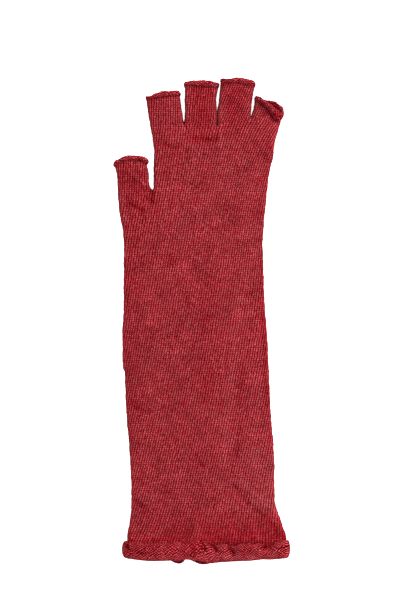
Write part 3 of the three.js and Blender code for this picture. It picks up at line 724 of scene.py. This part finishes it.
def knit(face):
    """Raises the stitches along the surface's own normals."""
    n = point_normals(face["verts"], [face["tri"]])
    h = (stitch_height(face["u"], face["v"]) - 0.45) * RELIEF * face["amount"]
    x, y = face["verts"][:, 0], face["verts"][:, 1]
    h *= 1 + 0.25 * smooth_noise(x, y, 3.1, 21)
    h += 0.05 * smooth_noise(x, y, 1.3, 22)
    face["verts"] = face["verts"] + n * h[:, None]
    return face


def join(faces_list):
    verts, tris, uv, dark, off = [], [], [], [], 0
    for f in faces_list:
        verts.append(f["verts"])
        tris.append(f["tri"] + off)
        uv.append(np.stack([f["u"], f["v"]], 1))
        dark.append(f["dark"])
        off += len(f["verts"])
    return np.vstack(verts), np.vstack(tris), np.vstack(uv), np.concatenate(dark)


def weld(verts, tris, uv, dark, pairs):
    """Makes the second vertex of each pair the same as the first."""
    to = np.arange(len(verts))
    for a, b in pairs:
        verts[a] = (verts[a] + verts[b]) / 2
        to[b] = a
    tris = to[tris]
    used = np.unique(tris)
    new = np.full(len(verts), -1)
    new[used] = np.arange(len(used))
    return verts[used], new[tris], uv[used], dark[used]


# ------------------------------------------------------------------ rolled rims
def purl_height(u, v):
    """The wrong side of the knit, wound on the bias: slanting rows of small beads, 0 to 1."""
    row = 0.5 + 0.5 * np.cos(2 * math.pi * (u + v))
    bead = 0.5 + 0.5 * np.cos(2 * math.pi * (u - v) + 0.6)
    return 0.5 * row ** 0.8 + 0.5 * bead * (0.4 + 0.6 * row)


def roll(loop, normal, out, length, height, sink, steps, relief, wobble, seed, start=0.0, dents=(), shadows=()):
    """An outward-rolled edge: an oval swept round a closed loop of the sleeve's end.
    loop: points on the cloth; normal: away from the cloth; out: the way the sleeve points;
    length and height: the roll's size along out and along normal at each point."""
    n = len(loop)
    s = np.concatenate([[0], np.cumsum(np.linalg.norm(np.diff(np.vstack([loop, loop[:1]]), axis=0), axis=1))])
    total, s = s[-1], s[:-1]
    g = np.random.default_rng(seed)
    wave = lambda k: sum(a * np.sin(2 * math.pi * (m * s / total + g.random())) for m, a in zip(k, (0.9, 0.7, 0.5, 0.4)))
    size = 1 + wobble * wave((3, 7, 12, 19))
    slide = start + wobble * 2.0 * wave((2, 5, 9, 16))
    a, b = length / 2, (height * size + sink) / 2
    phi = np.linspace(0, 2 * math.pi, steps, endpoint=False)
    verts = np.empty((n, steps, 3))
    for k, f in enumerate(phi):
        along = slide + a * (1 - np.cos(f))            # 0 at the groove, 2a at the far side
        up = b * (1 + np.sin(f)) - sink
        verts[:, k] = loop + out * along[:, None] + normal * up[:, None]
    centre_height = verts[..., 2].mean()
    girth = 2 * math.pi * np.sqrt(((length / 2) ** 2 + (height / 2) ** 2) / 2)
    wales = max(8, round(total / BIAS_ALONG))
    u = np.repeat((s / total * wales)[:, None], steps, 1)
    v = np.repeat((phi / (2 * math.pi))[None], n, 0) * np.round(girth.mean() / BIAS_ROUND)
    i, k = np.meshgrid(np.arange(n), np.arange(steps), indexing="ij")
    i2, k2 = (i + 1) % n, (k + 1) % steps
    idx = lambda a_, b_: a_ * steps + b_
    quads = np.stack([idx(i, k), idx(i, k2), idx(i2, k2), idx(i2, k)], -1).reshape(-1, 4)
    flat = verts.reshape(-1, 3)
    dark = np.zeros(len(flat))
    if len(dents):
        # painted shade in the dents' hollows and painted highlight on their ridges over the roll's upper half, painted
        # shadow over its lower half
        depth, dark = fold_relief(flat[:, :2], dents)
        upper = ((flat[:, 2] - centre_height) / 2.0).clip(0, 1)
        flat[:, 2] += depth * upper
        dark = dark * upper + fold_relief(flat[:, :2], shadows)[1] * (1 - upper)
    nn = point_normals(flat, [quads])
    centre = flat.reshape(n, steps, 3).mean(1)
    if ((flat - np.repeat(centre, steps, 0)) * nn).sum() < 0:
        quads = quads[:, ::-1]
        nn = -nn
    h = (purl_height(u.ravel(), v.ravel()) - 0.4) * relief
    h += 0.10 * relief * smooth_noise(flat[:, 0] + flat[:, 2], flat[:, 1] - flat[:, 2], 1.4, seed)
    flat = flat + nn * h[:, None]
    return flat, quads, np.stack([u.ravel(), v.ravel()], 1), dark


def rim_loop(part, a, b, out2, bow, step, along=0.0):
    """Closed loop of a sleeve's end on its outer surface, with its outward normals."""
    half = line_between(a, b, bow=bow, step=step)
    # crowd the points towards the folded edges
    n = len(half)
    t = 0.5 - 0.5 * np.cos(np.linspace(0, math.pi, n))
    t = 0.45 * t + 0.55 * np.linspace(0, 1, n)
    base = np.linspace(0, 1, n)
    half = np.stack([np.interp(t, base, half[:, k]) for k in (0, 1)], 1)
    half = half + np.array(out2) * along
    width = np.linalg.norm(half - half[0], axis=1)
    d = np.minimum(width, width[-1] - width)
    top = surface(half, part, d, +1)
    bottom = surface(half, part, d, -1)
    up = np.column_stack([half, top])
    down = np.column_stack([half, bottom])[1:-1][::-1]
    loop = np.vstack([up, down])
    side = np.concatenate([np.ones(n), -np.ones(n - 2)])
    place = np.concatenate([np.linspace(0, 1, n), np.linspace(1, 0, n)[1:-1]])
    # even spacing round the loop
    for _ in range(2):
        closed = np.vstack([loop, loop[:1]])
        s = np.concatenate([[0], np.cumsum(np.linalg.norm(np.diff(closed, axis=0), axis=1))])
        m = int(s[-1] / step)
        at = np.linspace(0, s[-1], m, endpoint=False)
        cp = np.concatenate([place, place[:1]])
        cs = np.concatenate([side, side[:1]])
        loop = np.stack([np.interp(at, s, closed[:, k]) for k in range(3)], 1)
        place, side = np.interp(at, s, cp), np.interp(at, s, cs)
    for _ in range(3):
        loop[:, 2] = 0.5 * loop[:, 2] + 0.25 * (np.roll(loop[:, 2], 1) + np.roll(loop[:, 2], -1))
    tangent = np.roll(loop, -1, axis=0) - np.roll(loop, 1, axis=0)
    out3 = np.array([out2[0], out2[1], 0.0])
    normal = np.cross(out3[None], tangent)
    normal /= np.linalg.norm(normal, axis=1)[:, None]
    centre = loop.mean(0)
    if ((loop - centre) * normal).sum() < 0:
        normal = -normal
    return loop, normal, out3, place


def three(values, t):
    """Smooth value along a line from its left, middle and right values."""
    l, m, r = values
    return l * (1 - t) * (1 - 2 * t) + 4 * m * t * (1 - t) + r * t * (2 * t - 1)


def digit_piece(part):
    front, back = knit(outer_face(part, +1)), knit(outer_face(part, -1))
    nb = len(front["boundary"])
    inner_front, inner_back = inner_face(part, +1), inner_face(part, -1)
    verts, tris, uv, dark = join([front, back, inner_front, inner_back])
    nf = len(front["verts"])
    left, right = EDGES[part]
    rim_n = len(line_between(left[-1], right[-1], bow=RIMS[part]["bow"])) - 2
    fold_ids = list(range(len(left))) + list(range(len(left) + rim_n, len(left) + rim_n + len(right)))
    verts, tris, uv, dark = weld(verts, tris, uv, dark, [(i, nf + i) for i in fold_ids])
    r = RIMS[part]
    a, b, out2 = digit_frame(part)
    loop, normal, out3, place = rim_loop(part, a, b, out2, r["bow"], 0.42, along=-UNDER)
    up = normal[:, 2]
    beneath = np.where(up > 0, 0, np.minimum(1, 2 * up ** 2))
    pairs = lambda name: np.interp(place, *zip(*r[name]))
    lump = (0.28 * smooth_noise(loop[:, 0] + 3 * up, loop[:, 1], 1.9, len(part) * 5 + 1)
            + 0.26 * smooth_noise(loop[:, 0] + 5 * up, loop[:, 1], 4.1, len(part) * 5 + 2))
    near, edge = pairs("groove"), pairs("edge") + 0.25 + lump
    far = pairs("far") + 0.55 + lump if "far" in r else edge - 0.5
    near = near + (far - 4.6 - near) * beneath
    edge = edge + (far - edge) * beneath
    high = three(r["high"], place)
    height = r["side"] + (np.where(up > 0, high, r["low"]) - r["side"]) * up ** 2
    sink = WALL * 0.9 + (r["inner"] - WALL * 0.9) * beneath
    for _ in range(3):
        near, edge, sink = (0.5 * k + 0.25 * (np.roll(k, 1) + np.roll(k, -1)) for k in (near, edge, sink))
    start = near - r["bow"] * (1 - (2 * place - 1) ** 2) + UNDER
    rv, rq, ruv, rdark = roll(loop, normal, out3, edge - near, height, sink, 26, 0.30, 0.06, len(part) * 7 + 3, start=start,
                              dents=LITTLE_DENTS if part == "little" else (), shadows=LITTLE_SHADOWS if part == "little" else ())
    off = len(verts)
    verts = np.vstack([verts, rv])
    uv = np.vstack([uv, ruv])
    dark = np.concatenate([dark, rdark])
    kind = np.concatenate([np.zeros(off), np.ones(len(rv))])
    even = kind * (0.55 if part == "little" else 0.12)
    return verts, [tris, rq + off], uv, dark, kind, even


def finish_piece(name, nodes, verts, faces, uv, dark, kind, material, even=None):
    print(name, "triangles", sum(len(f) * (np.asarray(f).shape[1] - 2) for f in faces), flush=True)
    verts = verts.copy()
    verts[:, 2] = np.maximum(verts[:, 2], 0.0)
    ob = make_object(name, verts * MM, faces, uv, dark)
    at = ob.data.attributes.new("purl_side", "FLOAT", "POINT")
    at.data.foreach_set("value", np.asarray(kind, np.float32))
    at = ob.data.attributes.new("even", "FLOAT", "POINT")
    at.data.foreach_set("value", np.asarray(np.zeros(len(verts)) if even is None else even, np.float32))
    ob.data.materials.append(material)
    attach(ob, "root")
    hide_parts(*nodes)
    return ob


# -------------------------------------------------------------------- material
class Value:
    """A number in a material, built up from shader nodes."""

    def __init__(self, tree, socket):
        self.tree, self.socket = tree, socket

    def _op(self, op, *others, clamp=False):
        node = self.tree.nodes.new("ShaderNodeMath")
        node.operation = op
        node.use_clamp = clamp
        for i, v in enumerate((self, *others)):
            if isinstance(v, Value):
                self.tree.links.new(v.socket, node.inputs[i])
            else:
                node.inputs[i].default_value = v
        return Value(self.tree, node.outputs[0])

    def __add__(self, o): return self._op("ADD", o)
    def __sub__(self, o): return self._op("SUBTRACT", o)
    def __mul__(self, o): return self._op("MULTIPLY", o)
    def power(self, o): return self._op("POWER", o)
    def fract(self): return self._op("FRACT")
    def floor(self): return self._op("FLOOR")
    def abs(self): return self._op("ABSOLUTE")
    def sin(self): return self._op("SINE")
    def cos(self): return self._op("COSINE")
    def clamp(self): return self._op("ADD", 0.0, clamp=True)
    def flip(self): return (self * -1.0) + 1.0


def mix_value(a, b, t):
    return a + (b - a) * t


def knit_material():
    mat = bpy.data.materials.new("red_heather_knit")
    mat.use_nodes = True
    tree = mat.node_tree
    nodes, links = tree.nodes, tree.links
    nodes.clear()
    output = nodes.new("ShaderNodeOutputMaterial")
    shader = nodes.new("ShaderNodeBsdfPrincipled")
    links.new(shader.outputs[0], output.inputs[0])
    uvn = nodes.new("ShaderNodeUVMap")
    uvn.uv_map = "stitches"
    sep = nodes.new("ShaderNodeSeparateXYZ")
    links.new(uvn.outputs[0], sep.inputs[0])
    geo = nodes.new("ShaderNodeTexCoord")
    u0, v0 = Value(tree, sep.outputs[0]), Value(tree, sep.outputs[1])
    attr = lambda n: (lambda a: (setattr(a, "attribute_name", n), Value(tree, a.outputs["Fac"]))[1])(nodes.new("ShaderNodeAttribute"))
    # the per-point attribute: painted shade and highlight, and the loose fibres' paler tone
    painted_shade_and_fibre_tone, purl, even = attr("painted_shade_and_fibre_tone"), attr("purl_side"), attr("even")

    def noise(scale, vector=None, detail=2.0, rough=0.5, dist=0.0):
        n = nodes.new("ShaderNodeTexNoise")
        n.inputs["Scale"].default_value = scale
        n.inputs["Detail"].default_value = detail
        n.inputs["Roughness"].default_value = rough
        n.inputs["Distortion"].default_value = dist
        links.new(vector if vector is not None else geo.outputs["Object"], n.inputs["Vector"])
        return Value(tree, n.outputs["Fac"])

    def vector(x, y, z=0.0):
        c = nodes.new("ShaderNodeCombineXYZ")
        for i, s in enumerate((x, y, z)):
            if isinstance(s, Value):
                links.new(s.socket, c.inputs[i])
            else:
                c.inputs[i].default_value = s
        return c.outputs[0]

    # yarn wander, so that the columns aren't ruled lines
    wander = noise(230.0, detail=1.0)
    wander2 = noise(310.0, detail=1.0)
    loose = purl * 0.9 + 0.5
    u = u0 + (wander - 0.5) * loose
    v = v0 + (wander2 - 0.5) * loose
    # knit side: two slanting legs a stitch, a deep groove between columns
    across = (u.fract() - 0.5).abs() * 2.0
    leg_v = v - across * CHEVRON
    notch = (leg_v.fract() * math.pi).sin().power(0.6)
    ridge = (across * (math.pi / 2)).cos().power(0.5) * ((across * math.pi).sin() * 0.20 + 0.80)
    leg = ridge * (notch * 0.62 + 0.38)
    # wrong side, wound on the bias: slanting rows of small beads
    row = ((u + v) * (2 * math.pi)).cos() * 0.5 + 0.5
    bead = ((u - v) * (2 * math.pi) + 0.6).cos() * 0.5 + 0.5
    bump_purl = row.power(0.8) * 0.5 + bead * (row * 0.6 + 0.4) * 0.5
    height = mix_value(leg, bump_purl, purl)
    # each leg of each stitch has its own shade
    cell = nodes.new("ShaderNodeTexWhiteNoise")
    cell.noise_dimensions = "3D"
    links.new(vector((u * 2.0).floor(), leg_v.floor(), purl), cell.inputs["Vector"])
    own = Value(tree, cell.outputs["Value"])
    # heather: short streaks along the rows, fibres, and slow changes of shade
    streak = noise(1.0, vector(u * 0.22, v * 0.7, 0.3), detail=1.0, rough=0.5)
    fibre = noise(1150.0, detail=0.0)
    fine = noise(1550.0, detail=0.0)
    broad = noise(30.0, detail=1.0)
    patch = noise(75.0, detail=0.0)
    spot = noise(150.0, detail=0.0)
    # tone: the stitch height paints shade into the grooves and highlight onto the legs, and the per-point attribute
    # takes off painted shade along edges, grooves, folds and dents (painted highlight where negative)
    tone = ((height - 0.585) * (purl * 0.14 + 1.0 - even) * RIB_PAINTED_SHADE + (own - 0.5) * OWN_SHADE + (fibre - 0.5) * FIBRE_SHADE + (fine - 0.5) * FINE_SHADE
            + 0.49 - painted_shade_and_fibre_tone * 0.34 + purl * 0.145 - even * purl * 0.18)
    brightness = ((streak - 0.5) * STREAK_SHADE + (broad - 0.5) * BROAD_SHADE + (patch - 0.5) * PATCH_SHADE
                  + (spot - 0.5) * SPOT_SHADE + 1.0)
    twist = noise(1.0, vector(u * 0.42 + 20.0, v * 0.85, 5.0), detail=1.5, rough=0.6)
    twist = ((twist - 0.5) * 2.8 + 0.5).clamp()
    ramp = nodes.new("ShaderNodeValToRGB")
    links.new(tone.clamp().socket, ramp.inputs[0])
    stops = YARN_STOPS
    cr = ramp.color_ramp
    while len(cr.elements) < len(stops):
        cr.elements.new(0.5)
    for e, (pos, c) in zip(cr.elements, stops):
        e.position = pos
        e.color = (*c, 1)
    scaled = nodes.new("ShaderNodeVectorMath")
    scaled.operation = "SCALE"
    links.new(ramp.outputs[0], scaled.inputs[0])
    links.new(brightness.socket, scaled.inputs["Scale"])
    spun = nodes.new("ShaderNodeMix")
    spun.data_type = "VECTOR"
    spun.inputs[4].default_value = CRIMSON
    spun.inputs[5].default_value = BROWNISH
    links.new(twist.socket, spun.inputs[0])
    tinted = nodes.new("ShaderNodeVectorMath")
    tinted.operation = "MULTIPLY"
    links.new(scaled.outputs[0], tinted.inputs[0])
    links.new(spun.outputs[1], tinted.inputs[1])
    redder = nodes.new("ShaderNodeMix")
    redder.data_type = "VECTOR"
    redder.inputs[4].default_value = (1.0, 1.0, 1.0)
    redder.inputs[5].default_value = PURL_RED
    links.new(purl.socket, redder.inputs[0])
    muted = nodes.new("ShaderNodeMix")
    muted.data_type = "VECTOR"
    links.new(redder.outputs[1], muted.inputs[4])
    muted.inputs[5].default_value = EVEN_TINT
    links.new(((even * purl - 0.35) * 5.0).clamp().socket, muted.inputs[0])
    deeper = nodes.new("ShaderNodeVectorMath")
    deeper.operation = "MULTIPLY"
    links.new(tinted.outputs[0], deeper.inputs[0])
    links.new(muted.outputs[1], deeper.inputs[1])
    links.new(deeper.outputs[0], shader.inputs["Base Color"])
    rough = (fibre * 0.10 + 0.86).clamp()
    links.new(rough.socket, shader.inputs["Roughness"])
    shader.inputs["Specular IOR Level"].default_value = 0.0
    bump = nodes.new("ShaderNodeBump")
    bump.inputs["Strength"].default_value = 0.9
    bump.inputs["Distance"].default_value = 0.0004
    links.new((height * even.flip() + (fibre - 0.5) * 0.35).socket, bump.inputs["Height"])
    links.new(bump.outputs[0], shader.inputs["Normal"])
    return mat


material = knit_material()

# ---------------------------------------------------------------------- pieces
for part, node in (("thumb", "thumb_tube"), ("index", "index_tube"), ("middle", "middle_tube"), ("ring", "ring_tube"),
                   ("little", "little_tube")):
    *knitted, even = digit_piece(part)
    finish_piece(f"{part}_knit", (node,), *knitted, material, even)

for side, label in ((1, "back"), (-1, "palm")):
    face, inner = knit(outer_face("arm", side)), inner_face("arm", side)
    verts, tris, uv, dark = join([face, inner])
    kind = np.concatenate([np.zeros(len(face["verts"])), np.ones(len(inner["verts"]))])
    # the columns flatten out towards the cuff roll
    even = 0.42 * ((-136.0 - verts[:, 1]) / 18.0).clip(0, 1) * (0.25 + 0.75 * ((verts[:, 0] + 38.0) / 26.0).clip(0, 1))
    finish_piece(f"arm_and_palm_{label}", ("cuff", "arm_sleeve", "palm"), verts, [tris], uv, dark, kind, material, even)

# cuff roll
CUFF_LOOP = -157.3
out2 = np.array([0.0, -1.0])
loop, normal, out3, place = rim_loop("arm", left_side[0], right_side[0], out2, 0.0, 0.43, along=left_side[0][1] - CUFF_LOOP)
up = normal[:, 2]
across = loop[:, 0]
along_x = lambda pairs: np.interp(across, *zip(*pairs))
upper, lower, beneath, tall = map(along_x, (CUFF_UPPER, CUFF_LOWER, CUFF_BENEATH, CUFF_HEIGHT))
lower, beneath = lower - 0.35, beneath - 0.35
lower = np.where(up > 0, lower, lower + (beneath - lower) * np.minimum(1, up ** 2 * 2))
upper = np.where(up > 0, upper, -159.5)
for _ in range(4):
    lower = 0.5 * lower + 0.25 * (np.roll(lower, 1) + np.roll(lower, -1))
    upper = 0.5 * upper + 0.25 * (np.roll(upper, 1) + np.roll(upper, -1))
side = np.interp(across, (-50, 0, 50), (3.5, 2.1, 2.1))
height = np.where(up > 0, side + (tall - side) * up ** 2, side + (2.2 - side) * up ** 2)
rv, rq, ruv, rdark = roll(loop, normal, out3, upper - lower, height, WALL * 0.9, 84, 0.36, 0.03, 5,
                          start=CUFF_LOOP - upper, dents=CUFF_DENTS, shadows=CUFF_SHADOWS)
finish_piece("cuff_roll", ("cuff",), rv, [rq], ruv, rdark, np.ones(len(rv)), material,
             0.12 + 0.22 * np.exp(-(((rv[:, 0] + 5.0) / 11.0) ** 2)))

# loose fibres on the back and a few pulled strands on the cuff roll
def strand(points, radius, sides=3):
    """A thin tube along a line, pointed at both ends."""
    p = np.asarray(points, float)
    t = np.gradient(p, axis=0)
    t /= np.linalg.norm(t, axis=1)[:, None]
    a = np.cross(t, (0.0, 0.0, 1.0))
    a /= np.linalg.norm(a, axis=1)[:, None]
    b = np.cross(t, a)
    taper = radius * np.sin(np.linspace(0.12, math.pi - 0.12, len(p))) ** 0.5
    verts = []
    for k in range(sides):
        f = 2 * math.pi * k / sides
        verts.append(p + (a * math.cos(f) + b * math.sin(f)) * taper[:, None])
    verts = np.stack(verts, 1).reshape(-1, 3)
    n = len(p)
    tri = []
    for i in range(n - 1):
        for k in range(sides):
            q, r = i * sides + k, i * sides + (k + 1) % sides
            tri += [(q, r, r + sides), (q, r + sides, q + sides)]
    tri += [(k, 0, k + 1) for k in range(1, sides - 1)]
    tri += [((n - 1) * sides, (n - 1) * sides + k, (n - 1) * sides + k + 1) for k in range(1, sides - 1)]
    return verts, np.array(tri)


def strands_piece(name, nodes, lines, light, material):
    verts, tris, off = [], [], 0
    for points, radius in lines:
        v, t = strand(points, radius)
        verts.append(v)
        tris.append(t + off)
        off += len(v)
    verts = np.vstack(verts)
    uv = verts[:, :2] / WALE
    return finish_piece(name, nodes, verts, [np.vstack(tris)], uv, np.full(len(verts), light), np.ones(len(verts)), material)


FIBRES = 420
LOOSE_LIGHT = -1.0   # the crease value that makes loose fibre paler
LONG_HAIRS = [((-39.6, 8.9), (-38.6, 14.0), (-36.6, 17.4)), ((20.5, 71.0), (24.5, 73.5), (29.5, 73.0)),
              ((3.0, -60.0), (6.5, -57.0), (7.0, -52.0))]
lines = []
centres = np.column_stack([rng.uniform(-54, 50, FIBRES * 2), rng.uniform(-150, 134, FIBRES * 2)])
room, _ = polyline_distance(centres, ALL_FOLDS)
boundary, _ = polygon_of("arm")
centres = centres[(room > 5.0) & inside(centres, boundary)][:FIBRES]
t = np.linspace(-1, 1, 8)
for c in centres:
    turn, size, bend = rng.uniform(0, 2 * math.pi), rng.uniform(0.9, 2.6), rng.uniform(-0.9, 0.9)
    d = np.array([math.cos(turn), math.sin(turn)])
    flat = c + np.outer(t * size, d) + np.outer(bend * size * (1 - t ** 2) * 0.5, [-d[1], d[0]])
    lines.append((flat, 0.045, 0.50))
for a, b, c in LONG_HAIRS:
    f = np.linspace(0, 1, 14)[:, None]
    lines.append(((1 - f) ** 2 * np.array(a) + 2 * f * (1 - f) * np.array(b) + f ** 2 * np.array(c), 0.11, 0.60))
ready = []
for flat, radius, lift in lines:
    room, _ = polyline_distance(flat, ALL_FOLDS)
    z = surface(flat, "arm", room, +1)
    arch = np.sin(np.linspace(0, math.pi, len(flat)))
    ready.append((np.column_stack([flat, z - 0.15 + lift * arch ** 0.7]), radius))
strands_piece("loose_fibres", ("arm_sleeve", "palm"), ready, LOOSE_LIGHT, material)

PULLED = [((34.6, -168.4), (37.6, -165.4), (41.0, -161.6)), ((37.2, -169.0), (40.0, -166.2), (42.2, -163.0)),
          ((48.6, -161.4), (50.6, -163.0), (53.4, -164.8)), ((52.0, -161.2), (54.0, -162.6), (55.0, -165.6))]
ready = []
crown = rv[rv[:, 2] > 5.0]
for a, b, c in PULLED:
    f = np.linspace(0, 1, 16)[:, None]
    flat = (1 - f) ** 2 * np.array(a) + 2 * f * (1 - f) * np.array(b) + f ** 2 * np.array(c)
    z = np.array([np.sort(crown[((crown[:, :2] - q) ** 2).sum(1) < 1.4, 2])[-4:].mean() for q in flat])
    ready.append((np.column_stack([flat, z - 0.25 + 0.40 * np.sin(f[:, 0] * math.pi) ** 0.6]), 0.17))
strands_piece("pulled_strands", ("cuff",), ready, 0.6 * LOOSE_LIGHT, material)

# ----------------------------------------------------------------------- stage
floor_mesh = bpy.data.meshes.new("floor")
floor_mesh.from_pydata([(-3, -3, 0), (3, -3, 0), (3, 3, 0), (-3, 3, 0)], [], [(0, 1, 2, 3)])
floor = bpy.data.objects.new("floor", floor_mesh)
floor.location = (0, 0, -0.0002)
bpy.context.scene.collection.objects.link(floor)
fm = bpy.data.materials.new("floor_white")
fm.use_nodes = True
fb = fm.node_tree.nodes["Principled BSDF"]
fb.inputs["Base Color"].default_value = (0.95, 0.95, 0.95, 1)
fb.inputs["Roughness"].default_value = 0.9
fb.inputs["Emission Color"].default_value = (1.0, 1.0, 1.0, 1)
fb.inputs["Emission Strength"].default_value = 0.92
floor_mesh.materials.append(fm)

world = bpy.data.worlds.new("studio")
bpy.context.scene.world = world
world.use_nodes = True
world.node_tree.nodes["Background"].inputs[0].default_value = (1.0, 1.0, 1.0, 1)
world.node_tree.nodes["Background"].inputs[1].default_value = 1.30


def area(name, location, target, size, power):
    light = bpy.data.lights.new(name, "AREA")
    light.shape = "DISK"
    light.size = size
    light.energy = power
    ob = bpy.data.objects.new(name, light)
    ob.location = location
    ob.rotation_euler = (Vector(target) - Vector(location)).to_track_quat("-Z", "Y").to_euler()
    bpy.context.scene.collection.objects.link(ob)
    return ob


area("key", (1.2, 1.5, 1.3), (0, 0, 0), 0.9, 70)

cam = bpy.data.cameras.new("camera")
camera = bpy.data.objects.new("camera", cam)
cam.sensor_fit = "AUTO"
cam.sensor_width = 36.0
cam.lens = 36.0 * CAMERA_HEIGHT / 0.432
camera.location = (-1.26 * MM, 14.4 * MM, CAMERA_HEIGHT + 0.008)
camera.rotation_euler = (0, 0, 0)
cam.clip_end = 20
bpy.context.scene.collection.objects.link(camera)
bpy.context.scene.camera = camera
bpy.context.scene.view_settings.view_transform = "Standard"
bpy.context.scene.view_settings.look = "None"

bpy.context.view_layer.update()
